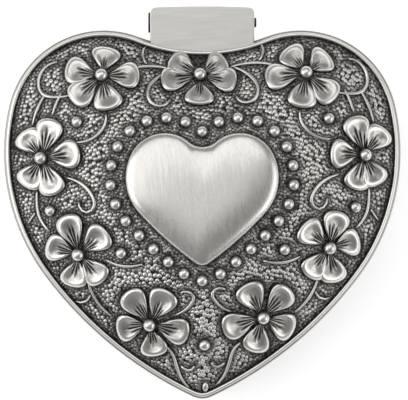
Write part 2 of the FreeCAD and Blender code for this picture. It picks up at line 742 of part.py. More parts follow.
def make_lid_card():
    """Stiff card pressed into the lid's mouth."""
    body = new_body("lid_card")
    inset = f"({MOUTH_INSET} + card_clearance)"
    heart_pad(body, "lid_card_outline", f"{CARD_SEAT} - card_thickness", "card_thickness", inset)
    return body


def make_lid_pad():
    """Velvet-covered pad under the lid's card."""
    body = new_body("lid_pad")
    inset = f"({MOUTH_INSET} + pad_clearance)"
    bottom = f"{CARD_SEAT} - card_thickness - lid_pad_thickness"
    base = heart_pad(body, "lid_pad_outline", bottom, "lid_pad_thickness", inset)
    fillet(body, base, heart_edges(base, bottom, inset), "lid_pad_round")
    return body


# ---------------------------------------------------------------- whole model


def check_document(parts):
    """Stops the build if any object failed or any sub-part isn't one valid solid."""
    for item in document.Objects:
        if {"Invalid", "Error"} & set(item.State):
            raise RuntimeError(f"{item.Label} failed: {item.State}")
    for part in parts:
        shape = part.Shape
        if shape.isNull() or not shape.isValid() or len(shape.Solids) != 1:
            raise RuntimeError(f"{part.Label} isn't one valid solid")


def write_parts(parts):
    """Writes each sub-part to a STEP file named after it."""
    os.makedirs("parts", exist_ok=True)
    for part in parts:
        part.Shape.exportStep(f"parts/{part.Label}.step")
        print(f"{part.Label:16s} {part.Shape.Volume / 1000:8.3f} cm3")


sizes = make_sheet()
sub_parts = [
    make_base_shell(),
    *(make_foot(label, x, y) for label, x, y in foot_places()),
    make_base_felt(),
    make_floor_card(),
    make_floor_pad(),
    make_wall_lining(),
    make_hinge_knuckle(),
    make_lid_shell(),
    make_heart_plaque(),
    make_hinge_leaf(),
    make_hinge_pin(),
    make_lid_card(),
    make_lid_pad(),
]
document.recompute()
check_document(sub_parts)
write_parts(sub_parts)
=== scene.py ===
"""Looks of the heart trinket box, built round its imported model.

An antiqued pewter casting: a heart tub on bun feet with an embossed side, and a domed lid whose nine
five-petal flowers, scrolling stems and pearls stand on a pebbled ground round a brushed heart plaque.
Metres, +Z up, +Y to the hinge, in the model's own frame. Sizes in the classes are millimetres.
"""

import logging
import math
import random
from collections.abc import Callable, Sequence
from dataclasses import dataclass, field, replace
from enum import Enum
from functools import cached_property

import bmesh
import bpy
from mathutils import Matrix, Vector, geometry, kdtree


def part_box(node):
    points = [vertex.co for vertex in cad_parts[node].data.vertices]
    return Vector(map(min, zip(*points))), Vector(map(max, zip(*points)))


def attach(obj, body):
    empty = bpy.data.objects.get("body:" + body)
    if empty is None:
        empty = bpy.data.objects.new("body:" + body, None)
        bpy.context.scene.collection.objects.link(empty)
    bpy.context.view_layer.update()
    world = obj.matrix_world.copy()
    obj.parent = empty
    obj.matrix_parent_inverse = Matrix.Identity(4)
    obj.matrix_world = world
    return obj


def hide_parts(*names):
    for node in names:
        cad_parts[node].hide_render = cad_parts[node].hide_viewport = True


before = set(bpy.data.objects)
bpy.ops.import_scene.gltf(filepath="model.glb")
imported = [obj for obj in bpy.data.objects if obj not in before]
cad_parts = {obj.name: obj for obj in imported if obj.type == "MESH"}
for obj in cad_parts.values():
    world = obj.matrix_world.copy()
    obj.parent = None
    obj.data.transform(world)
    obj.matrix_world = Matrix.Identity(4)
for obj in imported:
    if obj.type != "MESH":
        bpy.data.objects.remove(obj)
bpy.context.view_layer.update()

logging.basicConfig(level=logging.INFO, format="%(message)s")
log = logging.getLogger("trinket_box")

MM = 0.001
NEAR = 1e-7
WEAR = "wear"

Socket = bpy.types.NodeSocket
Colour = tuple[float, float, float, float]
Triple = tuple[float, float, float]
Spot = tuple[float, float]


class Body(Enum):
    """The two bodies that the pieces ride on."""

    BASE = "base"
    LID = "lid"


class Slot(Enum):
    """The record's material slots, passed with the new pieces but never read."""

    TUB = "tub_casting"
    LID = "lid_casting"
    PLAQUE = "plaque"
    VELVET = "velvet"
    FELT = "felt"


# ---------------------------------------------------------------- small sums


def smooth(low: float, high: float, value: float) -> float:
    """Smooth step from 0 at low to 1 at high."""
    share = min(1.0, max(0.0, (value - low) / (high - low)))
    return share * share * (3 - 2 * share)


def blend(low: float, high: float, share: float) -> float:
    """The value a share of the way from low to high."""
    return low + (high - low) * share


# ---------------------------------------------------------------- the heart's outline


@dataclass(frozen=True)
class Arc:
    """One round stretch of a heart's outline.

    Attributes:
        centre: Centre of the curve.
        radius: Its radius.
        start: Angle of its first point, seen from the centre.
        turn: Angle that it runs through, negative where the outline is hollow.
    """

    centre: Vector
    radius: float
    start: float
    turn: float

    @property
    def length(self) -> float:
        """Length along the curve."""
        return self.radius * abs(self.turn)

    def at(self, share: float) -> tuple[Vector, Vector]:
        """Point a share of the way along, and the direction out of the heart there.

        Args:
            share: From 0 at the start to 1 at the end.

        Returns:
            The point and the direction.
        """
        angle = self.start + share * self.turn
        ray = Vector((math.cos(angle), math.sin(angle), 0.0))
        return self.centre + self.radius * ray, ray * math.copysign(1.0, self.turn)


@dataclass(frozen=True)
class HeartOutline:
    """A heart of eight tangent arcs, all sizes in millimetres."""

    half_width: float = 45.0
    top: float = 39.1
    notch_depth: float = 4.2
    tip: float = 44.5
    lobe_inset: float = 22.64
    shoulder_radius: float = 22.0
    side_radius: float = 47.0
    flank_radius: float = 89.0
    tip_radius: float = 5.0

    def changed(self, change: Callable[[float], float], keep: Sequence[str] = ()) -> "HeartOutline":
        """The outline with every size but those kept put through a function."""
        names = set(self.__dataclass_fields__) - set(keep)
        return replace(self, **{name: change(getattr(self, name)) for name in names})

    def inset(self, distance: float) -> "HeartOutline":
        """The outline moved inwards by a distance."""
        return self.changed(lambda size: size - distance, keep=("notch_depth",))

    def scaled(self, share: float) -> "HeartOutline":
        """The outline scaled about the origin."""
        return self.changed(lambda size: size * share)

    @cached_property
    def arcs(self) -> tuple[Arc, ...]:
        """The eight arcs, counter-clockwise from the left end of the tip.

        Returns:
            The tip, the right half, the notch and the left half.
        """
        lobe_x = self.half_width - self.lobe_inset
        notch_radius = lobe_x**2 / (2 * self.notch_depth) + self.notch_depth / 2 - self.shoulder_radius
        notch = Vector((0, self.top - self.notch_depth + notch_radius, 0))
        tip = Vector((0, self.tip_radius - self.tip, 0))
        shoulder = Vector((lobe_x, self.top - self.shoulder_radius, 0))
        side_x = self.half_width - self.side_radius
        reach = self.side_radius - self.shoulder_radius
        side = Vector((side_x, shoulder.y - math.sqrt(reach**2 - (lobe_x - side_x) ** 2), 0))
        from_tip = self.flank_radius - self.tip_radius
        from_side = self.flank_radius - self.side_radius
        apart = side - tip
        along = (from_tip**2 - from_side**2 + apart.length_squared) / (2 * apart.length)
        across = math.sqrt(from_tip**2 - along**2)
        unit = apart.normalized()
        flank = tip + unit * along + Vector((-unit.y, unit.x, 0)) * across
        at_tip, at_side, at_shoulder, at_notch = (
            math.atan2(end.y - start.y, end.x - start.x)
            for start, end in ((flank, tip), (flank, side), (side, shoulder), (notch, shoulder))
        )
        right = (
            Arc(flank, self.flank_radius, at_tip, at_side - at_tip),
            Arc(side, self.side_radius, at_side, at_shoulder - at_side),
            Arc(shoulder, self.shoulder_radius, at_shoulder, at_notch + math.pi - at_shoulder),
        )
        left = (
            replace(arc, centre=arc.centre * Vector((-1, 1, 1)), start=math.pi - arc.start - arc.turn)
            for arc in reversed(right)
        )
        return (
            Arc(tip, self.tip_radius, -math.pi - at_tip, math.pi + 2 * at_tip),
            *right,
            Arc(notch, notch_radius, at_notch, -math.pi - 2 * at_notch),
            *left,
        )

    @cached_property
    def length(self) -> float:
        """Length all the way round."""
        return sum(arc.length for arc in self.arcs)

    def steps(self, spacing: float) -> tuple[int, ...]:
        """How many straight steps each arc takes at a spacing."""
        return tuple(max(2, math.ceil(arc.length / spacing)) for arc in self.arcs)

    def walk(self, distance: float) -> tuple[Vector, Vector]:
        """Point and outward direction at a distance counter-clockwise from the front of the tip.

        Args:
            distance: How far round, in millimetres.

        Returns:
            The point and the direction.
        """
        left = (distance + self.arcs[0].length / 2) % self.length
        for arc in self.arcs:
            if left <= arc.length:
                return arc.at(left / arc.length)
            left -= arc.length
        return self.arcs[0].at(0.0)

    @cached_property
    def sectors(self) -> tuple[tuple[float, Arc], ...]:
        """The arcs of the right half from the tip up, each with the polar angle where it ends.

        Returns:
            Pairs of angle and arc.
        """
        ends = [arc.at(1.0)[0] for arc in self.arcs[:4]]
        angles = [math.atan2(end.y, end.x) for end in ends]
        return tuple(zip([*angles, math.pi], self.arcs[:5]))

    def share(self, x: float, y: float) -> float:
        """How far out a point lies.

        Args:
            x: Its X.
            y: Its Y.

        Returns:
            0 at the origin, 1 on the outline, and more than 1 outside it.
        """
        far = math.hypot(x, y)
        if far < NEAR:
            return 0.0
        angle = math.atan2(y, abs(x))
        arc = next(arc for end, arc in self.sectors if angle <= end)
        along = (abs(x) * arc.centre.x + y * arc.centre.y) / far
        root = math.sqrt(max(0.0, along**2 - arc.centre.length_squared + arc.radius**2))
        return far / (along + math.copysign(root, arc.turn))

    def draw(self, bm: bmesh.types.BMesh, height: float, steps: Sequence[int]) -> None:
        """Draws the closed outline by spinning a point round each arc's centre.

        Args:
            bm: The mesh to draw in.
            height: Its height in millimetres.
            steps: How many steps each arc takes.
        """
        start = self.arcs[0].at(0.0)[0]
        first = last = bm.verts.new((start.x, start.y, height))
        for arc, count in zip(self.arcs, steps):
            centre = (arc.centre.x, arc.centre.y, height)
            turned = bmesh.ops.spin(
                bm, geom=[last], cent=centre, axis=(0, 0, 1), angle=arc.turn, steps=count
            )
            last = next(item for item in turned["geom_last"] if isinstance(item, bmesh.types.BMVert))
        bmesh.ops.weld_verts(bm, targetmap={last: first})


LIP = HeartOutline(
    half_width=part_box("base_shell")[1].x / MM,
    top=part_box("base_shell")[1].y / MM,
    tip=-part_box("base_shell")[0].y / MM,
)
PLAQUE = HeartOutline(
    half_width=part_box("heart_plaque")[1].x / MM,
    top=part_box("heart_plaque")[1].y / MM,
    notch_depth=3.1,
    tip=-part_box("heart_plaque")[0].y / MM,
    lobe_inset=8.87,
    shoulder_radius=8.5,
    side_radius=12.0,
    flank_radius=80.0,
    tip_radius=2.5,
)


# ---------------------------------------------------------------- surfaces that carry relief


class Surface:
    """A surface with two coordinates in millimetres, and a height above it."""

    def at(self, across: float, up: float, height: float) -> Vector:
        """The point, in millimetres, at two coordinates and a height above the surface."""
        raise NotImplementedError

    def shortening(self, across: float, up: float, angle: float) -> float:
        """How much shorter a length looks in the coordinates, in a direction at a place."""
        return 1.0

    def frame(self, across: float, up: float, height: float = 0.0) -> Matrix:
        """Axes at a place: along both coordinates and out of the surface, and the place itself.

        Args:
            across: The first coordinate.
            up: The second coordinate.
            height: How far above the surface.

        Returns:
            The axes and the place, as one matrix.
        """
        step = 0.1
        first = self.at(across + step, up, 0) - self.at(across - step, up, 0)
        second = self.at(across, up + step, 0) - self.at(across, up - step, 0)
        out = first.cross(second).normalized()
        first.normalize()
        axes = Matrix((first, out.cross(first), out)).transposed().to_4x4()
        return Matrix.Translation(self.at(across, up, 0) + out * height) @ axes


@dataclass(frozen=True)
class LidDome(Surface):
    """The lid's domed ground. Its coordinates are X and Y seen from above."""

    edge_height: float = 27.2
    cap_height: float = 38.0
    rise: float = 12.0
    power: float = 2.2
    ground_inset: float = 1.5

    @cached_property
    def outline(self) -> HeartOutline:
        """Outline of the ground inside the rim bead."""
        return LIP.inset(self.ground_inset)

    def height(self, x: float, y: float) -> float:
        """Height of the ground, which is flat under the plaque."""
        domed = self.edge_height + self.rise * (1 - self.outline.share(x, y) ** self.power)
        return min(domed, self.cap_height)

    def at(self, across: float, up: float, height: float) -> Vector:
        """The point above the ground."""
        return Vector((across, up, self.height(across, up) + height))

    def shortening(self, across: float, up: float, angle: float) -> float:
        """A slope seen from above looks shorter along its fall.

        Args:
            across: The first coordinate.
            up: The second coordinate.
            angle: The direction, in radians from the first axis.

        Returns:
            The share of a length that is seen.
        """
        step = 0.2
        x, y = step * math.cos(angle), step * math.sin(angle)
        slope = (self.height(across + x, up + y) - self.height(across - x, up - y)) / (2 * step)
        return 1 / math.sqrt(1 + slope**2)


@dataclass(frozen=True)
class TubWall(Surface):
    """The tub's upright side. Its coordinates run round from the front of the tip, and up."""

    inset: float = 1.2

    @cached_property
    def outline(self) -> HeartOutline:
        """Outline of the wall's face."""
        return LIP.inset(self.inset)

    def at(self, across: float, up: float, height: float) -> Vector:
        """The point in front of the wall."""
        point, out = self.outline.walk(across)
        return Vector((point.x + out.x * height, point.y + out.y * height, up))


# ---------------------------------------------------------------- workpieces


class Workpiece:
    """A mesh being made in millimetres, with how worn each point is from 0, dark, to 1, polished."""

    def __init__(self, name: str) -> None:
        """Starts an empty piece.

        Args:
            name: The piece's name.
        """
        self.name = name
        self.bm = bmesh.new()
        self.wear = self.bm.verts.layers.float.new(WEAR)
        self.seen = self.bm.verts.layers.int.new("seen")

    def fresh(self) -> list[bmesh.types.BMVert]:
        """The points made since this was last asked.

        Returns:
            The points, each of which is given only once.
        """
        seen = self.seen
        made = [vert for vert in self.bm.verts if not vert[seen]]
        for vert in made:
            vert[seen] = 1
        return made

    def join(self, part: "Workpiece") -> list[bmesh.types.BMVert]:
        """Adds a part made on its own, and gives its points here.

        Args:
            part: The part, which is used up.

        Returns:
            Its points in this piece.
        """
        mesh = bpy.data.meshes.new(part.name)
        part.bm.to_mesh(mesh)
        part.bm.free()
        self.bm.from_mesh(mesh)
        bpy.data.meshes.remove(mesh)
        return self.fresh()

    def finish(
        self, body: Body, slot: Slot, material: bpy.types.Material, replaces: Sequence[str] = ()
    ) -> bpy.types.Object:
        """Makes the object, in metres, and puts it on its body.

        Args:
            body: What it rides on.
            slot: Its slot in the record; not used.
            material: Its finish.
            replaces: Model nodes that it stands for.

        Returns:
            The new object.
        """
        self.bm.verts.layers.int.remove(self.seen)
        mesh = bpy.data.meshes.new(self.name)
        bmesh.ops.scale(self.bm, verts=self.bm.verts, vec=(MM, MM, MM))
        self.bm.to_mesh(mesh)
        self.bm.free()
        mesh.polygons.foreach_set("use_smooth", [True] * len(mesh.polygons))
        return place(bpy.data.objects.new(self.name, mesh), body, slot, material, replaces)


def place(
    piece: bpy.types.Object,
    body: Body,
    slot: Slot,
    material: bpy.types.Material,
    replaces: Sequence[str] = (),
) -> bpy.types.Object:
    """Links a finished object, dresses it and puts it on its body.

    Args:
        piece: The object.
        body: What it rides on.
        slot: Its slot in the record; not used.
        material: Its finish.
        replaces: Model nodes that it stands for.

    Returns:
        The same object.
    """
    if piece.name not in bpy.context.scene.objects:
        bpy.context.scene.collection.objects.link(piece)
    piece.data.materials.clear()
    piece.data.materials.append(material)
    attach(piece, body.value)
    if replaces:
        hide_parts(*replaces)
    log.info("%-18s %7d faces on %s", piece.name, len(piece.data.polygons), body.value)
    return piece


def sharpen(piece: bpy.types.Object, degrees: float = 40.0) -> None:
    """Keeps the edges that turn more than an angle sharp.

    Args:
        piece: The object.
        degrees: The angle.
    """
    bm = bmesh.new()
    bm.from_mesh(piece.data)
    for edge in bm.edges:
        if len(edge.link_faces) == 2 and edge.calc_face_angle() > math.radians(degrees):
            edge.smooth = False
    bm.to_mesh(piece.data)
    bm.free()


# ---------------------------------------------------------------- shader groups


class Nodes:
    """Short ways to add and join the nodes of one tree."""

    def __init__(self, tree: bpy.types.NodeTree) -> None:
        """Works in a tree."""
        self.tree = tree

    def add(self, kind: str, inputs: dict | None = None, **settings) -> bpy.types.Node:
        """Adds a node.

        Args:
            kind: The node's type.
            inputs: What each of its inputs is joined or set to.
            **settings: Its properties, which are set first.

        Returns:
            The node.
        """
        node = self.tree.nodes.new(kind)
        for name, value in settings.items():
            setattr(node, name, value)
        for name, value in (inputs or {}).items():
            if isinstance(value, Socket):
                self.tree.links.new(value, node.inputs[name])
            else:
                node.inputs[name].default_value = value
        return node

    def math(
        self, operation: str, first: Socket | float, second: Socket | float, clamp: bool = False
    ) -> Socket:
        """The value of a sum."""
        node = self.add("ShaderNodeMath", {0: first, 1: second}, operation=operation, use_clamp=clamp)
        return node.outputs[0]

    def mix(self, share: Socket | float, first: Socket | Colour, second: Socket | Colour) -> Socket:
        """A colour a share of the way from first to second."""
        return self.add("ShaderNodeMix", {0: share, 6: first, 7: second}, data_type="RGBA").outputs[2]

    def spread(self, value: Socket, low: float, high: float, to_low: float, to_high: float) -> Socket:
        """The value moved from one range to another, smoothly."""
        inputs = {"Value": value, 1: low, 2: high, 3: to_low, 4: to_high}
        return self.add("ShaderNodeMapRange", inputs, interpolation_type="SMOOTHSTEP").outputs[0]

    def noise(self, place: Socket, scale: Socket | float, detail: float = 3.0) -> Socket:
        """Noise at a place, with this many waves to a metre."""
        inputs = {"Vector": place, "Scale": scale, "Detail": detail}
        return self.add("ShaderNodeTexNoise", inputs).outputs["Fac"]

    def brushed(self, place: Socket, turn: float, scale: Triple = (1.0, 1.0, 1.0)) -> bpy.types.Node:
        """Brush lines at a place that is turned about Z, by an angle in degrees, and then scaled.

        Args:
            place: The place.
            turn: The angle.
            scale: How much longer each axis is made.

        Returns:
            The brush group.
        """
        inputs = {"Vector": place, "Rotation": (0, 0, math.radians(turn))}
        turned = self.add("ShaderNodeMapping", inputs, vector_type="POINT").outputs[0]
        scaled = self.add("ShaderNodeMapping", {"Vector": turned, "Scale": scale}).outputs[0]
        return self.add("ShaderNodeGroup", {"Place": scaled}, node_tree=BRUSH)

    def bump(self, height: Socket) -> Socket:
        """The normal of a surface with a height in metres."""
        inputs = {"Height": height, "Distance": 1.0, "Strength": 1.0}
        return self.add("ShaderNodeBump", inputs).outputs["Normal"]


def new_group(
    name: str, inputs: dict[str, object], outputs: dict[str, str]
) -> tuple[Nodes, dict[str, Socket], dict[str, Socket]]:
    """Starts a shader group.

    Args:
        name: The group's name.
        inputs: Each input's name and value, a colour, a vector or a number.
        outputs: Each output's name and socket type.

    Returns:
        The group's nodes, its input sockets and its output sockets by name.
    """
    tree = bpy.data.node_groups.new(name, "ShaderNodeTree")
    for label, value in inputs.items():
        kind = "NodeSocketFloat"
        if not isinstance(value, float):
            kind = "NodeSocketColor" if len(value) == 4 else "NodeSocketVector"
        socket = tree.interface.new_socket(label, in_out="INPUT", socket_type=kind)
        socket.default_value = value
    for label, kind in outputs.items():
        tree.interface.new_socket(label, in_out="OUTPUT", socket_type=kind)
    nodes = Nodes(tree)
    source = nodes.add("NodeGroupInput")
    sink = nodes.add("NodeGroupOutput")
    return nodes, dict(source.outputs.items()), dict(sink.inputs.items())


def patina_group() -> bpy.types.NodeTree:
    """Antique finish: dark patina in the recesses, polished metal on the high points.

    Returns:
        The group, which puts out a colour, a roughness and how metallic the surface is.
    """
    nodes, given, out = new_group(
        "antique_patina",
        {
            "Place": (0.0, 0.0, 0.0),
            "Wear": 0.5,
            "Dark": (0.02, 0.02, 0.02, 1.0),
            "Mid": (0.3, 0.3, 0.3, 1.0),
            "Bright": (0.7, 0.7, 0.7, 1.0),
        },
        {"Color": "NodeSocketColor", "Roughness": "NodeSocketFloat", "Metal": "NodeSocketFloat"},
    )
    cloud = nodes.noise(given["Place"], 160.0)
    speck = nodes.noise(given["Place"], 2600.0, 2.0)
    clouded = nodes.spread(cloud, 0.3, 0.7, -0.07, 0.07)
    shift = nodes.math("ADD", clouded, nodes.spread(speck, 0.3, 0.7, -0.06, 0.06))
    wear = nodes.math("ADD", given["Wear"], shift, clamp=True)
    low = nodes.mix(nodes.spread(wear, 0.08, 0.5, 0.0, 1.0), given["Dark"], given["Mid"])
    colour = nodes.mix(nodes.spread(wear, 0.45, 0.95, 0.0, 1.0), low, given["Bright"])
    nodes.tree.links.new(colour, out["Color"])
    nodes.tree.links.new(nodes.spread(wear, 0.1, 0.9, 0.55, 0.3), out["Roughness"])
    nodes.tree.links.new(nodes.spread(wear, 0.05, 0.45, 0.55, 1.0), out["Metal"])
    return nodes.tree


def brush_group() -> bpy.types.NodeTree:
    """Fine brush lines: a height and a tone that change across them.

    Returns:
        The group.
    """
    nodes, given, out = new_group(
        "brush_lines",
        {"Place": (0.0, 0.0, 0.0), "Fine": 8200.0, "Long": 210.0},
        {"Height": "NodeSocketFloat", "Tone": "NodeSocketFloat"},
    )
    scale = nodes.add("ShaderNodeCombineXYZ", {"X": given["Fine"], "Y": given["Long"], "Z": given["Fine"]})
    stretched = nodes.add(
        "ShaderNodeVectorMath", {0: given["Place"], 1: scale.outputs[0]}, operation="MULTIPLY"
    ).outputs[0]
    wide = nodes.add("ShaderNodeVectorMath", {0: stretched, 1: (0.22, 0.5, 0.22)}, operation="MULTIPLY")
    fine = nodes.noise(stretched, 1.0, 2.0)
    broad = nodes.noise(wide.outputs[0], 1.0, 2.0)
    both = nodes.math("ADD", nodes.math("MULTIPLY", fine, 0.6), nodes.math("MULTIPLY", broad, 0.4))
    nodes.tree.links.new(both, out["Height"])
    nodes.tree.links.new(nodes.spread(both, 0.35, 0.65, 0.0, 1.0), out["Tone"])
    return nodes.tree


def nap_group() -> bpy.types.NodeTree:
    """Short pile of a fabric: a height, and soft patches where it is stroked.

    Returns:
        The group.
    """
    nodes, given, out = new_group(
        "fabric_nap",
        {"Place": (0.0, 0.0, 0.0), "Fibre": 9000.0, "Patch": 240.0},
        {"Height": "NodeSocketFloat", "Stroke": "NodeSocketFloat"},
    )
    fibre = nodes.noise(given["Place"], given["Fibre"], 3.0)
    patch = nodes.noise(given["Place"], given["Patch"], 2.0)
    nodes.tree.links.new(fibre, out["Height"])
    both = nodes.math("ADD", nodes.math("MULTIPLY", patch, 0.4), nodes.math("MULTIPLY", fibre, 0.6))
    nodes.tree.links.new(nodes.spread(both, 0.36, 0.64, 0.0, 1.0), out["Stroke"])
    return nodes.tree


PATINA = patina_group()
BRUSH = brush_group()
NAP = nap_group()


# ---------------------------------------------------------------- finishes


def grey(value: float, warmth: float = 0.027) -> Colour:
    """A pewter grey, a little warm."""
    return (value * (1 + warmth), value, value * (1 - 1.6 * warmth), 1.0)


def new_material(name: str) -> tuple[Nodes, bpy.types.Node, Socket]:
    """A material with only its shader, and the piece's own coordinates.

    Args:
        name: The material's name.

    Returns:
        Its nodes, its shader and the coordinates.
    """
    material = bpy.data.materials.new(name)
    material.use_nodes = True
    nodes = Nodes(material.node_tree)
    shader = material.node_tree.nodes["Principled BSDF"]
    place = nodes.add("ShaderNodeTexCoord").outputs["Object"]
    return nodes, shader, place


@dataclass(frozen=True)
class AgedPewter:
    """Cast pewter with dark patina low down and polish on the high points.

    Attributes:
        name: The material's name.
        wear: Even wear where the mesh holds none; None reads the mesh.
        bright: Tone of the polished metal.
        mid: Tone of the metal between.
        dark: Tone of the patina.
        grain: Depth of the casting's grain, in millimetres.
        brush: Depth of the brush marks, in millimetres.
        brush_turn: Angle in degrees of the brush marks from the Y axis.
    """

    name: str
    wear: float | None = None
    bright: float = 0.72
    mid: float = 0.3
    dark: float = 0.012
    grain: float = 0.012
    brush: float = 0.008
    brush_turn: float = 38.0

    def make(self) -> bpy.types.Material:
        """Builds the material.

        Returns:
            The material.
        """
        nodes, shader, where = new_material(self.name)
        if self.wear is None:
            wear = nodes.add("ShaderNodeAttribute", attribute_name=WEAR).outputs["Fac"]
        else:
            wear = self.wear
        inputs = {
            "Place": where,
            "Wear": wear,
            "Dark": grey(self.dark),
            "Mid": grey(self.mid),
            "Bright": grey(self.bright),
        }
        patina = nodes.add("ShaderNodeGroup", inputs, node_tree=PATINA)
        brush = nodes.brushed(where, self.brush_turn)
        height = nodes.math(
            "ADD",
            nodes.math("MULTIPLY", nodes.noise(where, 4200.0), self.grain * MM),
            nodes.math("MULTIPLY", brush.outputs["Height"], self.brush * MM),
        )
        link = nodes.tree.links.new
        link(patina.outputs["Color"], shader.inputs["Base Color"])
        link(patina.outputs["Roughness"], shader.inputs["Roughness"])
        link(patina.outputs["Metal"], shader.inputs["Metallic"])
        link(nodes.bump(height), shader.inputs["Normal"])
        return bpy.data.materials[self.name]


@dataclass(frozen=True)
class GroundAndBand:
    """A casting with a dark stippled ground between two heights and plain brushed metal elsewhere.

    Attributes:
        name: The material's name.
        low: Height in metres where the ground begins.
        high: Height in metres where it ends.
        dark: Tone of the ground's hollows.
        light: Tone of its high points.
        band: Tone of the plain metal.
    """

    name: str
    low: float
    high: float
    dark: float = 0.02
    light: float = 0.16
    band: float = 0.42

    def make(self) -> bpy.types.Material:
        """Builds the material.

        Returns:
            The material.
        """
        nodes, shader, where = new_material(self.name)
        stipple = nodes.add(
            "ShaderNodeTexVoronoi", {"Vector": where, "Scale": 2100.0}, feature="SMOOTH_F1"
        ).outputs["Distance"]
        cloud = nodes.noise(where, 300.0)
        clouded = nodes.math("ADD", stipple, nodes.math("MULTIPLY", cloud, 0.3))
        tone = nodes.spread(clouded, 0.25, 0.8, 1.0, 0.0)
        ground = nodes.mix(tone, grey(self.dark), grey(self.light))
        brush = nodes.brushed(where, 0.0, (0.05, 0.05, 1.0))
        band = nodes.mix(brush.outputs["Tone"], grey(self.band * 0.8), grey(self.band))
        height = nodes.add("ShaderNodeSeparateXYZ", {"Vector": where}).outputs["Z"]
        above = nodes.math("GREATER_THAN", height, self.low)
        upper = nodes.math("MULTIPLY", above, nodes.math("LESS_THAN", height, self.high))
        link = nodes.tree.links.new
        link(nodes.mix(upper, band, ground), shader.inputs["Base Color"])
        link(nodes.spread(upper, 0.0, 1.0, 0.38, 0.55), shader.inputs["Roughness"])
        shader.inputs["Metallic"].default_value = 0.9
        relief = nodes.math("MULTIPLY", nodes.math("MULTIPLY", tone, upper), 0.08 * MM)
        link(nodes.bump(relief), shader.inputs["Normal"])
        return bpy.data.materials[self.name]


@dataclass(frozen=True)
class BrushedPewter:
    """Plain pewter with straight brush lines.

    Attributes:
        name: The material's name.
        tone: Its grey.
        turn: Angle in degrees of the lines from the Y axis.
        roughness: Its mean roughness.
        depth: Depth of the lines, in millimetres.
    """

    name: str
    tone: float = 0.74
    turn: float = 0.0
    roughness: float = 0.3
    depth: float = 0.004

    def make(self) -> bpy.types.Material:
        """Builds the material.

        Returns:
            The material.
        """
        nodes, shader, where = new_material(self.name)
        brush = nodes.brushed(where, self.turn)
        tone = brush.outputs["Tone"]
        cloud = nodes.spread(nodes.noise(where, 120.0), 0.3, 0.7, 0.0, 1.0)
        fine = nodes.mix(tone, grey(self.tone * 0.93), grey(self.tone))
        colour = nodes.mix(nodes.math("MULTIPLY", cloud, 0.12), fine, grey(self.tone * 0.85))
        height = nodes.math("MULTIPLY", brush.outputs["Height"], self.depth * MM)
        link = nodes.tree.links.new
        link(colour, shader.inputs["Base Color"])
        rough = nodes.spread(tone, 0.0, 1.0, self.roughness + 0.05, self.roughness - 0.05)
        link(rough, shader.inputs["Roughness"])
        link(nodes.bump(height), shader.inputs["Normal"])
        shader.inputs["Metallic"].default_value = 1.0
        return bpy.data.materials[self.name]


@dataclass(frozen=True)
class SoftGoods:
    """A piled fabric or a fibrous sheet.

    Attributes:
        name: The material's name.
        deep: Colour between the fibres.
        top: Colour of the stroked pile.
        fibre: Fibres to a metre.
        pile: Depth of the pile's bump, in millimetres.
        sheen: How strongly the pile shines at a glance.
        roughness: Its least roughness.
    """

    name: str
    deep: Colour
    top: Colour
    fibre: float = 9000.0
    pile: float = 0.12
    sheen: float = 0.6
    roughness: float = 0.85

    def make(self) -> bpy.types.Material:
        """Builds the material.

        Returns:
            The material.
        """
        nodes, shader, where = new_material(self.name)
        nap = nodes.add("ShaderNodeGroup", {"Place": where, "Fibre": self.fibre}, node_tree=NAP)
        colour = nodes.mix(nap.outputs["Stroke"], self.deep, self.top)
        height = nodes.math("MULTIPLY", nap.outputs["Height"], self.pile * MM)
        link = nodes.tree.links.new
        link(colour, shader.inputs["Base Color"])
        rough = nodes.spread(nap.outputs["Stroke"], 0.0, 1.0, self.roughness + 0.1, self.roughness)
        link(rough, shader.inputs["Roughness"])
        link(nodes.bump(height), shader.inputs["Normal"])
        shader.inputs["Sheen Weight"].default_value = self.sheen
        shader.inputs["Sheen Roughness"].default_value = 0.4
        shader.inputs["Sheen Tint"].default_value = self.top
        return bpy.data.materials[self.name]


# ---------------------------------------------------------------- motifs


class Footprint:
    """Where the motifs stand on a surface, in its coordinates."""

    def __init__(self) -> None:
        """Starts with nothing on the surface."""
        self.places: list[Spot] = []

    def add(self, across: float, up: float) -> None:
        """Marks a place as taken."""
        self.places.append((across, up))

    def add_disc(self, across: float, up: float, radius: float) -> None:
        """Marks a round place as taken.

        Args:
            across: Its middle's first coordinate.
            up: Its middle's second coordinate.
            radius: Its radius.
        """
        rings = max(1, round(radius / 0.3))
        for ring in range(1, rings + 1):
            for step in range(6 * ring):
                angle = math.tau * step / (6 * ring)
                far = radius * ring / rings
                self.add(across + far * math.cos(angle), up + far * math.sin(angle))

    def tree(self) -> kdtree.KDTree:
        """The marked places, ready to be searched.

        Returns:
            The tree of places.
        """
        tree = kdtree.KDTree(len(self.places))
        for index, (across, up) in enumerate(self.places):
            tree.insert((across, up, 0.0), index)
        tree.balance()
        return tree


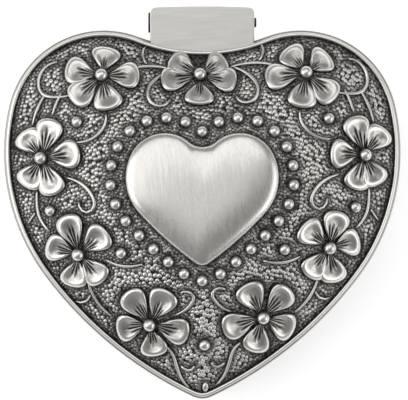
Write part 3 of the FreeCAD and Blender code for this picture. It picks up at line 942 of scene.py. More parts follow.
@dataclass(frozen=True)
class Petal:
    """A cupped petal with a raised round rim and grooves that fan out from the flower's middle.

    Attributes:
        direction: Where it points, in degrees from the surface's first axis.
        reach: From the flower's middle to its end.
        scale: Size of its relief beside a full-size flower's.
        depth: How proud it stands beside a full-size flower's.
    """

    direction: float
    reach: float
    scale: float = 1.0
    depth: float = 1.0
    half_width: float = 3.34
    root: float = 1.3
    skew: float = 0.62
    widest: float = 1.144
    rim_share: float = 0.8
    rim_height: float = 1.45
    root_height: float = 0.8
    cup: float = 0.68
    edge_drop: float = 0.5
    groove_depth: float = 0.4
    buried: float = 0.4
    detail: int = 54

    def build(
        self,
        work: Workpiece,
        surface: Surface,
        middle: Spot,
        draw: random.Random,
        footprint: Footprint,
    ) -> None:
        """Adds the petal to a piece.

        Args:
            work: The piece.
            surface: What it stands on.
            middle: The flower's middle, in the surface's coordinates.
            draw: Source of the small differences between petals.
            footprint: Where the petal's place is marked.
        """
        part = Workpiece("petal")
        detail = round(self.detail * (0.4 + 0.6 * self.scale))
        bmesh.ops.create_grid(part.bm, x_segments=detail, y_segments=detail, size=1.0)
        grid = list(part.bm.verts)
        angle = math.radians(self.direction)
        outward = Vector((math.cos(angle), math.sin(angle)))
        sideways = Vector((-outward.y, outward.x))
        centre = Vector(middle)
        half_way = centre + outward * self.reach * 0.6
        narrow = surface.shortening(*half_way, angle + math.pi / 2)
        grooves = self.grooves(draw)
        root = self.root * self.scale
        edge = 1 - 2 / detail
        for index, vert in enumerate(grid):
            ring = max(abs(vert.co.x), abs(vert.co.y))
            buried = ring > edge + NEAR
            shrink = 1 / ring if buried else 1 / edge
            a, b = vert.co.x * shrink, vert.co.y * shrink
            share = a * math.sqrt(1 - b * b / 2)
            across = b * math.sqrt(1 - a * a / 2)
            along = blend(root, self.reach, (share + 1) / 2)
            aside = across * self.half_width * self.scale * narrow * (1 + self.skew * share) / self.widest
            if buried:
                height, wear = -self.buried, 0.0
            else:
                height, wear = self.relief(share, min(1.0, math.hypot(share, across)), along, aside, grooves)
            spot = centre + outward * along + sideways * aside
            if index % 3 == 0:
                footprint.add(spot.x, spot.y)
            vert.co = surface.at(spot.x, spot.y, height * self.depth)
            vert[part.wear] = wear
        border = {side for vert in grid for side in vert.link_edges if side.is_boundary}
        bmesh.ops.contextual_create(part.bm, geom=list(border))
        work.join(part)

    def grooves(self, draw: random.Random) -> list[tuple[float, float]]:
        """Each groove's angle from the petal's middle line in degrees, and where it ends.

        Args:
            draw: Source of the small differences between grooves.

        Returns:
            Pairs of angle and end.
        """
        angles = (-25.0, -15.5, -6.0, 3.5, 13.0, 23.0)
        lengths = (0.46, 0.62, 0.74, 0.76, 0.66, 0.48)
        return [
            (angle + draw.uniform(-1.8, 1.8), length * draw.uniform(0.86, 1.06) * self.reach)
            for angle, length in zip(angles, lengths)
        ]

    def relief(
        self, share: float, out: float, along: float, aside: float, grooves: list[tuple[float, float]]
    ) -> tuple[float, float]:
        """Height above the ground and wear at a place of the petal.

        Args:
            share: From -1 at its root to 1 at its end.
            out: From 0 in its middle to 1 on its edge.
            along: Distance from the flower's middle along the petal's middle line.
            aside: Distance from that line.
            grooves: Each groove's angle and end.

        Returns:
            The height and the wear.
        """
        rise = smooth(-1.15, 0.25, share)
        crest = blend(self.root_height, self.rim_height, rise)
        if out < self.rim_share:
            dip = (1 - (out / self.rim_share) ** 2.4) ** 2
            height = crest - self.cup * dip * (0.3 + 0.7 * rise)
            wear = blend(0.97, 0.7, smooth(0.0, 0.35, dip))
        else:
            past = (out - self.rim_share) / (1 - self.rim_share)
            height = crest - self.edge_drop * past**2
            wear = blend(0.98, 0.45, past**4)
        bearing = math.degrees(math.atan2(aside, along))
        deep = 0.0
        for angle, end in grooves:
            off = math.radians(bearing - angle) * along
            width = 0.055 * self.scale + 0.029 * along
            fade = 1 - smooth(end - 1.8 * self.scale, end, along)
            deep = max(deep, math.exp(-((off / width) ** 2)) * fade)
        deep *= smooth(-1.0, -0.86, share)
        wear *= (1 - 0.95 * deep) * blend(0.72, 1.0, smooth(-1.05, -0.4, share))
        return height - self.groove_depth * deep, wear


@dataclass(frozen=True)
class Flower:
    """Five petals round a ball.

    Attributes:
        middle: Its middle, in the surface's coordinates.
        petals: Each petal's direction in degrees, and its reach.
        scale: Its size beside a full-size flower.
        depth: How proud it stands beside a full-size flower.
    """

    middle: Spot
    petals: tuple[tuple[float, float], ...]
    scale: float = 1.0
    depth: float = 1.0
    eye_radius: float = 1.5
    eye_lift: float = 0.62

    def build(self, work: Workpiece, surface: Surface, draw: random.Random, footprint: Footprint) -> None:
        """Adds the flower to a piece.

        Args:
            work: The piece.
            surface: What it stands on.
            draw: Source of the small differences between petals.
            footprint: Where its place is marked.
        """
        for direction, reach in self.petals:
            petal = Petal(direction, reach, self.scale, self.depth)
            petal.build(work, surface, self.middle, draw, footprint)
        eye = Pearls((self.middle,), self.eye_radius * self.scale, self.eye_lift * self.depth, self.depth)
        eye.build(work, surface, footprint)


@dataclass(frozen=True)
class Pearls:
    """Balls sunk in the ground.

    Attributes:
        places: Each ball's place, in the surface's coordinates.
        radius: Their radius.
        lift: Height of their centres above the ground.
        squash: How tall they are beside a ball.
    """

    places: tuple[Spot, ...]
    radius: float = 1.3
    lift: float = 0.35
    squash: float = 0.9
    segments: int = 26

    def build(self, work: Workpiece, surface: Surface, footprint: Footprint) -> None:
        """Adds the balls to a piece, dark at the foot and polished on top.

        Args:
            work: The piece.
            surface: What they stand on.
            footprint: Where their places are marked.
        """
        for across, up in self.places:
            matrix = surface.frame(across, up, self.lift) @ Matrix.Diagonal((1, 1, self.squash, 1))
            part = Workpiece("pearl")
            rings = self.segments // 2
            bmesh.ops.create_uvsphere(
                part.bm, u_segments=self.segments, v_segments=rings, radius=self.radius, matrix=matrix
            )
            out = matrix.to_3x3().col[2].normalized()
            centre = matrix.translation
            for vert in part.bm.verts:
                rise = (vert.co - centre).dot(out) / self.radius
                vert[part.wear] = blend(0.15, 1.0, smooth(-0.1, 0.4, rise))
            work.join(part)
            footprint.add_disc(across, up, self.radius)


@dataclass(frozen=True)
class Stems:
    """Round wires that run and curl over the ground.

    Attributes:
        lines: The points that each wire passes, in the surface's coordinates.
        radius: Radius of a wire.
        lift: Height of its middle above the ground.
        taper: Share of the radius left at its ends.
    """

    lines: tuple[tuple[Spot, ...], ...]
    radius: float = 0.4
    lift: float = 0.28
    taper: float = 0.6
    steps: int = 7
    sides: int = 3

    def smoothed(self, line: Sequence[Spot]) -> list[Vector]:
        """Points along the smooth curve through a wire's points.

        Args:
            line: The points that it passes.

        Returns:
            The same points with more between them.
        """
        knots = [Vector((*point, 0.0)) for point in line]
        before = [2 * knots[0] - knots[1], *knots[:-1]]
        after = [*knots[1:], 2 * knots[-1] - knots[-2]]
        reach = [(late - early) / 6 for early, late in zip(before, after)]
        points = [knots[0]]
        for index in range(len(knots) - 1):
            start, end = knots[index], knots[index + 1]
            bend = geometry.interpolate_bezier(
                start, start + reach[index], end - reach[index + 1], end, self.steps
            )
            points.extend(bend[1:])
        return points

    def build(self, work: Workpiece, surface: Surface, footprint: Footprint) -> None:
        """Adds the wires to a piece, dark at the foot and polished on top.

        Args:
            work: The piece.
            surface: What they stand on.
            footprint: Where their places are marked.
        """
        curve = bpy.data.curves.new(work.name + "_wires", "CURVE")
        curve.dimensions = "3D"
        curve.bevel_depth = self.radius
        curve.bevel_resolution = self.sides
        curve.use_fill_caps = True
        middles: list[Vector] = []
        outs: list[Vector] = []
        for line in self.lines:
            path = self.smoothed(line)
            wire = curve.splines.new("POLY")
            wire.points.add(len(path) - 1)
            for index, spot in enumerate(path):
                footprint.add(spot.x, spot.y)
                axes = surface.frame(spot.x, spot.y, self.lift)
                middles.append(axes.translation.copy())
                outs.append(axes.to_3x3().col[2].normalized())
                ends = min(index, len(path) - 1 - index) / 5
                wire.points[index].co = (*axes.translation, 1.0)
                wire.points[index].radius = blend(self.taper, 1.0, min(1.0, ends))
        holder = bpy.data.objects.new(work.name + "_wires", curve)
        mesh = bpy.data.meshes.new_from_object(holder)
        work.bm.from_mesh(mesh)
        bmesh.ops.remove_doubles(work.bm, verts=list(work.bm.verts), dist=0.0005)
        bpy.data.objects.remove(holder)
        bpy.data.curves.remove(curve)
        bpy.data.meshes.remove(mesh)
        near = kdtree.KDTree(len(middles))
        for index, middle in enumerate(middles):
            near.insert(middle, index)
        near.balance()
        for vert in work.fresh():
            index = near.find(vert.co)[1]
            rise = (vert.co - middles[index]).dot(outs[index]) / self.radius
            vert[work.wear] = blend(0.12, 0.95, smooth(-0.35, 0.7, rise))


@dataclass(frozen=True)
class Scroll:
    """A stem drawn as round strokes that run into each other.

    Attributes:
        start: Where it begins, in the surface's coordinates.
        heading: The way that it sets off, in degrees from the surface's first axis.
        strokes: Each stroke's length, and the angle in degrees that it turns to the left.
    """

    start: Spot
    heading: float
    strokes: tuple[tuple[float, float], ...]
    step: float = 1.0

    def line(self) -> tuple[Spot, ...]:
        """Points along the strokes.

        Returns:
            The points, in the surface's coordinates.
        """
        spot, heading = Vector(self.start), self.heading
        points = [tuple(spot)]
        for length, turn in self.strokes:
            count = max(2, round(length / self.step))
            for _ in range(count):
                angle = math.radians(heading + turn / count / 2)
                spot = spot + Vector((math.cos(angle), math.sin(angle))) * (length / count)
                heading += turn / count
                points.append(tuple(spot))
        return tuple(points)


@dataclass(frozen=True)
class Grain:
    """One grain of a pebbled ground: its place, its pitch and how polished its top is."""

    across: float
    up: float
    pitch: float
    wear: float


@dataclass
class PebbledGround:
    """Round grains that fill the ground between the motifs.

    They are finer and darker close to a motif and coarser and brighter in the open.
    """

    surface: Surface
    low: Spot
    high: Spot
    allowed: Callable[[float, float], bool]
    fine: float = 0.55
    coarse: float = 0.9
    margin: float = 0.3
    open_distance: float = 2.6
    height_share: float = 0.4
    radius_share: float = 0.74
    shoulder: Triple = (1.13, 1.13, 1.02)
    tries: int = 18
    starts: int = 500

    def grain_at(self, tree: kdtree.KDTree, across: float, up: float, draw: random.Random) -> Grain | None:
        """The grain that a place can hold.

        Args:
            tree: Where the motifs stand.
            across: The place's first coordinate.
            up: Its second coordinate.
            draw: Source of the small differences between grains.

        Returns:
            The grain, or None outside the ground or too near a motif.
        """
        inside = self.low[0] < across < self.high[0] and self.low[1] < up < self.high[1]
        if not inside or not self.allowed(across, up):
            return None
        away = tree.find((across, up, 0.0))[2]
        if away < self.margin:
            return None
        clear = smooth(self.margin, self.open_distance, away)
        wear = blend(0.34, 0.93, smooth(0.3, 1.9, away)) + draw.uniform(-0.16, 0.08)
        return Grain(across, up, blend(self.fine, self.coarse, clear), wear)

    def scatter(self, footprint: Footprint, draw: random.Random) -> list[Grain]:
        """Packs grains as closely as their pitch lets them.

        Args:
            footprint: Where the motifs stand.
            draw: Source of the grains' places.

        Returns:
            The grains.
        """
        tree = footprint.tree()
        cell = self.coarse
        cells: dict[tuple[int, int], list[Grain]] = {}
        grains: list[Grain] = []

        def take(grain: Grain | None) -> bool:
            """Keeps a grain if nothing is too near.

            Args:
                grain: The grain, or None.

            Returns:
                Whether it was kept.
            """
            if grain is None:
                return False
            column, row = int(grain.across // cell), int(grain.up // cell)
            for x in (column - 1, column, column + 1):
                for y in (row - 1, row, row + 1):
                    for other in cells.get((x, y), ()):
                        apart = (other.pitch + grain.pitch) / 2
                        if (other.across - grain.across) ** 2 + (other.up - grain.up) ** 2 < apart**2:
                            return False
            cells.setdefault((column, row), []).append(grain)
            grains.append(grain)
            return True

        for _ in range(self.starts):
            spot = (draw.uniform(self.low[0], self.high[0]), draw.uniform(self.low[1], self.high[1]))
            take(self.grain_at(tree, *spot, draw))
        live = list(grains)
        while live:
            index = draw.randrange(len(live))
            source = live[index]
            for _ in range(self.tries):
                angle = draw.uniform(0.0, math.tau)
                far = source.pitch * draw.uniform(1.0, 1.3)
                across = source.across + far * math.cos(angle)
                up = source.up + far * math.sin(angle)
                if take(self.grain_at(tree, across, up, draw)):
                    live.append(grains[-1])
                    break
            else:
                live[index] = live[-1]
                live.pop()
        return grains

    def build(self, work: Workpiece, grains: Sequence[Grain], draw: random.Random) -> None:
        """Adds the grains to a piece, each a low dome of a few faces.

        Args:
            work: The piece, still empty.
            grains: The grains.
            draw: Source of their turns and shapes.
        """
        bm = work.bm
        bmesh.ops.create_uvsphere(bm, u_segments=7, v_segments=4, radius=1.0)
        everything = [*bm.verts, *bm.edges, *bm.faces]
        bmesh.ops.bisect_plane(
            bm, geom=everything, plane_co=(0, 0, -0.02), plane_no=(0, 0, -1), clear_outer=True
        )
        bmesh.ops.holes_fill(bm, edges=[edge for edge in bm.edges if edge.is_boundary])
        shoulder = [vert for vert in bm.verts if 0.3 < vert.co.z < 0.9]
        bmesh.ops.scale(bm, verts=shoulder, vec=self.shoulder)
        shape = [vert.co.copy() for vert in bm.verts]
        copies = [list(bm.verts)]
        while len(copies) < len(grains):
            chosen = copies[: len(grains) - len(copies)]
            verts = [vert for copy in chosen for vert in copy]
            faces = {face for vert in verts for face in vert.link_faces}
            edges = {edge for vert in verts for edge in vert.link_edges}
            twins = bmesh.ops.duplicate(bm, geom=[*verts, *edges, *faces])["vert_map"]
            copies += [[twins[vert] for vert in copy] for copy in chosen]
        for grain, copy in zip(grains, copies):
            radius = grain.pitch * self.radius_share
            oval = draw.uniform(0.86, 1.14)
            size = Matrix.Diagonal((radius * oval, radius / oval, grain.pitch * self.height_share, 1))
            turn = Matrix.Rotation(draw.uniform(0.0, math.tau), 4, "Z")
            matrix = self.surface.frame(grain.across, grain.up, -0.08) @ turn @ size
            for vert, local in zip(copy, shape):
                vert.co = matrix @ local
                vert[work.wear] = grain.wear * blend(0.05, 1.0, smooth(0.0, 0.85, local.z))


def bridged(
    work: Workpiece, rings: Sequence[tuple[HeartOutline, float, float]], spacing: float, closed: bool = False
) -> list[list[bmesh.types.BMEdge]]:
    """Joins outlines at different heights with faces.

    Args:
        work: The piece.
        rings: Each ring's outline, height and wear.
        spacing: Length of the straight steps round them.
        closed: Whether the last ring joins the first.

    Returns:
        The edges of each ring.
    """
    steps = rings[0][0].steps(spacing)
    drawn = []
    for outline, height, wear in rings:
        ring = Workpiece("ring")
        outline.draw(ring.bm, height, steps)
        for vert in ring.bm.verts:
            vert[ring.wear] = wear
        drawn.append(list({edge for vert in work.join(ring) for edge in vert.link_edges}))
    pairs = list(zip(drawn, drawn[1:]))
    if closed:
        pairs.append((drawn[-1], drawn[0]))
    for first, second in pairs:
        bmesh.ops.bridge_loops(work.bm, edges=[*first, *second])
    return drawn


def face_outwards(work: Workpiece) -> None:
    """Turns every face of closed shapes outwards."""
    bmesh.ops.recalc_face_normals(work.bm, faces=list(work.bm.faces))


# ---------------------------------------------------------------- the lid

LONE_PEARLS = ((28.5, 19.0), (34.5, -1.0), (18.5, -10.5))
TIP_PEARL = (0.5, -32.0)
LID_FLOWERS = (
    Flower((-22.7, 28.6), ((79, 6.8), (2, 8.6), (-76, 7.9), (-140, 8.9), (168, 8.5))),
    Flower((-0.5, 28.7), ((-92, 6.6), (-8, 8.4), (36, 7.0), (148, 7.9), (186, 8.9))),
    Flower((23.4, 29.2), ((126, 7.3), (40, 6.8), (186, 9.3), (-98, 7.9), (-40, 8.9))),
    Flower((36.6, 10.8), ((105, 9.1), (52, 7.7), (177, 7.7), (-105, 8.2), (-64, 7.6))),
    Flower((-36.2, 10.1), ((76, 9.2), (8, 8.7), (-71, 8.9), (-121, 7.7), (127, 7.5))),
    Flower((-27.8, -11.6), ((109, 9.4), (40, 8.2), (166, 7.9), (-103, 7.7), (-50, 8.3))),
    Flower((-11.7, -27.4), ((126, 9.1), (63, 8.6), (-15, 9.0), (-82, 7.5), (190, 7.9))),
    Flower((13.6, -25.8), ((117, 8.4), (46, 8.9), (-24, 7.9), (-103, 8.4), (198, 9.5))),
    Flower((28.6, -10.1), ((74, 8.5), (140, 7.9), (-125, 8.2), (-80, 8.2), (12, 7.3))),
)
LID_SCROLLS = (
    Scroll((33.0, 32.5), -5, ((8.5, -105), (2.5, -60), (5.0, -25))),
    Scroll((35.5, 25.5), -55, ((8.0, -25),)),
    Scroll((32.0, 25.5), -58, ((5.5, -20),)),
    Scroll((22.0, 21.0), -100, ((4.0, 45), (4.0, 35), (3.2, 25))),
    Scroll((6.5, 30.5), 18, ((6.0, -18), (4.5, -18))),
    Scroll((13.0, 32.0), 50, ((2.6, 40), (1.8, 55))),
    Scroll((7.0, 30.5), -15, ((6.0, -35), (3.2, -60), (3.2, -65), (3.2, -75))),
    Scroll((31.0, 6.5), 190, ((4.0, 25), (4.5, 35), (2.6, 65), (2.3, 90), (2.2, 45))),
    Scroll((37.5, 3.5), -85, ((4.5, -15), (5.5, -40))),
    Scroll((38.0, -1.5), -60, ((3.0, 10),)),
    Scroll((22.0, -12.0), 212, ((4.6, -27), (4.0, -22))),
    Scroll((26.0, -17.0), -105, ((5.0, -20), (4.5, -20))),
    Scroll((25.5, -20.0), -80, ((1.7, 50), (2.4, 60))),
    Scroll((6.5, -24.5), 165, ((5.4, -45), (2.0, -90), (2.6, -60))),
    Scroll((8.5, -31.5), -145, ((3.6, 40), (3.6, -5), (3.9, -30))),
    Scroll((5.0, -36.0), -130, ((1.8, -35), (1.9, -95))),
)


@dataclass
class Lid:
    """The domed lid: its relief, its rim bead, its plaque and the finish of its casting."""

    dome: LidDome = field(default_factory=LidDome)
    casting: GroundAndBand = GroundAndBand("lid_ground_patina", low=0.02715, high=1.0)
    relief: AgedPewter = AgedPewter("antiqued_relief")
    polished: BrushedPewter = BrushedPewter("brushed_plaque", turn=-6.0)
    rim: AgedPewter = AgedPewter("rim_polish", bright=0.8)
    plaque_seat: float = 38.0
    plaque_edge: float = 1.0
    plaque_puff: float = 2.4
    ring_gap: float = 3.3
    ring_pearls: int = 28
    twin_shift: Spot = (0.3, -0.8)
    leaf_place: Spot = (0.7, -41.6)
    rim_marks: int = 900
    plaque_marks: int = 360
    seed: int = 7

    def build(self) -> None:
        """Builds and dresses everything on the lid."""
        dress("lid_shell", self.casting.make())
        relief = self.relief.make()
        footprint = Footprint()
        self.mark_borders(footprint)
        draw = random.Random(self.seed)
        for number, flower in enumerate(LID_FLOWERS, start=1):
            work = Workpiece(f"lid_flower_{number}")
            flower.build(work, self.dome, draw, footprint)
            face_outwards(work)
            work.finish(Body.LID, Slot.LID, relief)
        ring = PLAQUE.inset(-self.ring_gap)
        spots = [ring.walk(ring.length * pearl / self.ring_pearls)[0] for pearl in range(self.ring_pearls)]
        self.pearls("lid_pearl_ring", tuple((spot.x, spot.y) for spot in spots), relief, footprint)
        twins = tuple(self.mirrored(spot) for spot in LONE_PEARLS)
        self.pearls("lid_lone_pearls", (*LONE_PEARLS, *twins, TIP_PEARL), relief, footprint)
        self.stems(relief, footprint)
        self.ground(relief, footprint)
        self.rim_bead()
        self.plaque()

    def mirrored(self, spot: Spot) -> Spot:
        """The place on the left that answers one on the right; the left half sits a little lower."""
        return (self.twin_shift[0] - spot[0], self.twin_shift[1] + spot[1])

    def mark_borders(self, footprint: Footprint) -> None:
        """Marks the ground's edge and the plaque's place as taken.

        Args:
            footprint: Where they are marked.
        """
        rim = self.dome.outline
        edges = [(rim, self.rim_marks)]
        edges += [(PLAQUE.scaled(share), self.plaque_marks) for share in (0.4, 0.6, 0.8, 1.0)]
        for edge, marks in edges:
            for step in range(marks):
                point = edge.walk(edge.length * step / marks)[0]
                footprint.add(point.x, point.y)

    def pearls(
        self,
        name: str,
        places: tuple[Spot, ...],
        material: bpy.types.Material,
        footprint: Footprint,
    ) -> None:
        """Builds a set of pearls as one piece.

        Args:
            name: The piece's name.
            places: Where they stand.
            material: Their finish.
            footprint: Where their places are marked.
        """
        work = Workpiece(name)
        Pearls(places).build(work, self.dome, footprint)
        work.finish(Body.LID, Slot.LID, material)

    def stems(self, material: bpy.types.Material, footprint: Footprint) -> None:
        """Builds the scrolling stems, and the small oval leaf that they meet at over the tip.

        Args:
            material: Their finish.
            footprint: Where the motifs stand.
        """
        work = Workpiece("lid_stems")
        right = tuple(scroll.line() for scroll in LID_SCROLLS)
        left = tuple(tuple(self.mirrored(spot) for spot in line) for line in right)
        Stems(right + left, steps=2).build(work, self.dome, footprint)
        leaf = self.leaf_place
        matrix = self.dome.frame(*leaf, 0.2) @ Matrix.Diagonal((0.75, 1.25, 0.7, 1))
        part = Workpiece("leaf")
        bmesh.ops.create_uvsphere(part.bm, u_segments=20, v_segments=12, radius=1.0, matrix=matrix)
        for vert in part.bm.verts:
            vert[part.wear] = 0.8
        work.join(part)
        footprint.add_disc(*leaf, 0.8)
        face_outwards(work)
        work.finish(Body.LID, Slot.LID, material)

    def ground(self, material: bpy.types.Material, footprint: Footprint) -> None:
        """Fills the ground with grains, as a left and a right piece.

        Args:
            material: Their finish.
            footprint: Where the motifs stand.
        """
        outline = self.dome.outline
        pebbles = PebbledGround(
            self.dome,
            low=(-LIP.half_width, -LIP.tip),
            high=(LIP.half_width, LIP.top),
            allowed=lambda x, y: outline.share(x, y) < 1 and PLAQUE.share(x, y) > 1,
        )
        draw = random.Random(self.seed + 1)
        grains = pebbles.scatter(footprint, draw)
        for name, side in (("lid_grains_left", -1), ("lid_grains_right", 1)):
            work = Workpiece(name)
            pebbles.build(work, [grain for grain in grains if grain.across * side >= 0], draw)
            work.finish(Body.LID, Slot.LID, material)

    def rim_bead(self) -> None:
        """Builds the polished bead round the lid's edge."""
        profile = (
            (0.55, 27.0, 0.5), (0.55, 27.5, 0.85), (0.66, 27.76, 0.95), (0.92, 27.9, 1.0), (1.2, 27.86, 1.0),
            (1.45, 27.66, 0.8), (1.56, 27.35, 0.3), (1.58, 26.9, 0.1),
        )
        work = Workpiece("lid_rim_bead")
        bridged(work, [(LIP.inset(inset), height, wear) for inset, height, wear in profile], 0.6, closed=True)
        face_outwards(work)
        work.finish(Body.LID, Slot.LID, self.rim.make())

    def plaque(self) -> None:
        """Builds the puffed heart in the middle."""
        low = self.plaque_seat + self.plaque_edge
        shares = [1.0, 0.996, 0.986, 0.97, 0.945, *(0.91 - 0.035 * step for step in range(25))]
        rings = [(PLAQUE, self.plaque_seat - 0.2, 1.0), (PLAQUE, low - 0.15, 1.0)]
        for share in shares:
            rise = self.plaque_puff * math.sqrt(max(0.0, 1 - share**4))
            rings.append((PLAQUE.scaled(share), low + rise, 1.0))
        work = Workpiece("puffed_heart")
        drawn = bridged(work, rings, 0.55)
        bmesh.ops.contextual_create(work.bm, geom=drawn[0])
        bmesh.ops.contextual_create(work.bm, geom=drawn[-1])
        bmesh.ops.remove_doubles(work.bm, verts=list(work.bm.verts), dist=0.0005)
        face_outwards(work)
        work.finish(Body.LID, Slot.PLAQUE, self.polished.make(), replaces=("heart_plaque",))


# ---------------------------------------------------------------- the tub


def dress(node: str, material: bpy.types.Material) -> None:
    """Gives a model node its finish.

    Args:
        node: The node's name.
        material: The finish.
    """
    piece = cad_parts[node]
    for slot in piece.material_slots:
        slot.material = material
    if not piece.material_slots:
        piece.data.materials.append(material)
    log.info("%-18s dressed in %s", node, material.name)


@dataclass
class Tub:
    """The heart-shaped tub: its casting and the relief round its side."""

    wall: TubWall = field(default_factory=TubWall)
    casting: GroundAndBand = GroundAndBand("tub_ground_patina", low=0.0063, high=0.0216)
    relief: AgedPewter = AgedPewter("antiqued_wall_relief", bright=0.66)
    band_low: float = 6.5
    band_high: float = 21.5
    middle: float = 14.0
    flower_pitch: float = 22.0
    flower_scale: float = 0.82
    petal_reach: float = 8.6
    side_flowers: int = 5
    last_gap: float = 0.986
    relief_depth: float = 0.6
    hinge_half_width: float = 10.6
    hinge_low: float = 12.6
    seed: int = 21

    def build(self) -> None:
        """Builds and dresses the tub."""
        dress("base_shell", self.casting.make())
        relief = self.relief.make()
        footprint = Footprint()
        draw = random.Random(self.seed)
        for name, side in (("wall_flowers_left", -1), ("wall_flowers_right", 1)):
            work = Workpiece(name)
            for number in range(self.side_flowers):
                self.flower(side, number).build(work, self.wall, draw, footprint)
            face_outwards(work)
            work.finish(Body.BASE, Slot.TUB, relief)
        self.stems(relief, footprint)
        self.pearls(relief, footprint)
        self.ground(relief, footprint)

    def flower(self, side: int, number: int) -> Flower:
        """A flower of the side band, counted from the tip.

        Args:
            side: -1 on the left, 1 on the right.
            number: Its number, from 0.

        Returns:
            The flower.
        """
        across = side * self.flower_pitch * (number + 0.5)
        first = 90 if number % 2 else -90
        reach = self.petal_reach * self.flower_scale
        petals = tuple((first + 72 * petal, reach * (1.0 if petal else 0.92)) for petal in range(5))
        return Flower((across, self.middle), petals, self.flower_scale, self.relief_depth)

    def stems(self, material: bpy.types.Material, footprint: Footprint) -> None:
        """Builds the stems that wave from flower to flower, each with a curl above and below.

        Args:
            material: Their finish.
            footprint: Where the motifs stand.
        """
        curl = (
            (-4.4, 2.6), (-2.2, 4.9), (0.4, 5.3), (2.1, 3.9),
            (1.9, 2.1), (0.5, 1.3), (-0.7, 2.1), (-0.4, 3.2),
        )
        lines = []
        for gap in range(-self.side_flowers, self.side_flowers + 1):
            start = self.flower_pitch * gap * (1.0 if abs(gap) < self.side_flowers else self.last_gap)
            lift = 1 if gap % 2 else -1
            for flip in (1, -1):
                lines.append(tuple((start + flip * x, self.middle + flip * lift * y) for x, y in curl))
        work = Workpiece("wall_stems")
        Stems(tuple(lines), lift=0.2).build(work, self.wall, footprint)
        face_outwards(work)
        work.finish(Body.BASE, Slot.TUB, material)

    def pearls(self, material: bpy.types.Material, footprint: Footprint) -> None:
        """Builds the pearls of the side band, one in each gap.

        Args:
            material: Their finish.
            footprint: Where their places are marked.
        """
        gaps = range(1 - self.side_flowers, self.side_flowers)
        places = tuple((self.flower_pitch * gap, self.middle) for gap in gaps)
        work = Workpiece("wall_pearls")
        Pearls(places, radius=1.0, lift=0.05, squash=0.85).build(work, self.wall, footprint)
        work.finish(Body.BASE, Slot.TUB, material)

    def allowed(self, across: float, up: float) -> bool:
        """Whether grains may stand at a place of the wall: not behind the hinge."""
        point = self.wall.outline.walk(across)[0]
        return point.y < 0 or abs(point.x) > self.hinge_half_width or up < self.hinge_low

    def ground(self, material: bpy.types.Material, footprint: Footprint) -> None:
        """Fills the side band with grains, as a left and a right piece.

        Args:
            material: Their finish.
            footprint: Where the motifs stand.
        """
        half = self.wall.outline.length / 2
        pebbles = PebbledGround(
            self.wall,
            low=(-half, self.band_low),
            high=(half, self.band_high),
            allowed=self.allowed,
            fine=0.62,
            coarse=0.95,
        )
        draw = random.Random(self.seed + 1)
        grains = pebbles.scatter(footprint, draw)
        for name, side in (("wall_grains_left", -1), ("wall_grains_right", 1)):
            work = Workpiece(name)
            pebbles.build(work, [grain for grain in grains if grain.across * side >= 0], draw)
            work.finish(Body.BASE, Slot.TUB, material)


# ---------------------------------------------------------------- linings


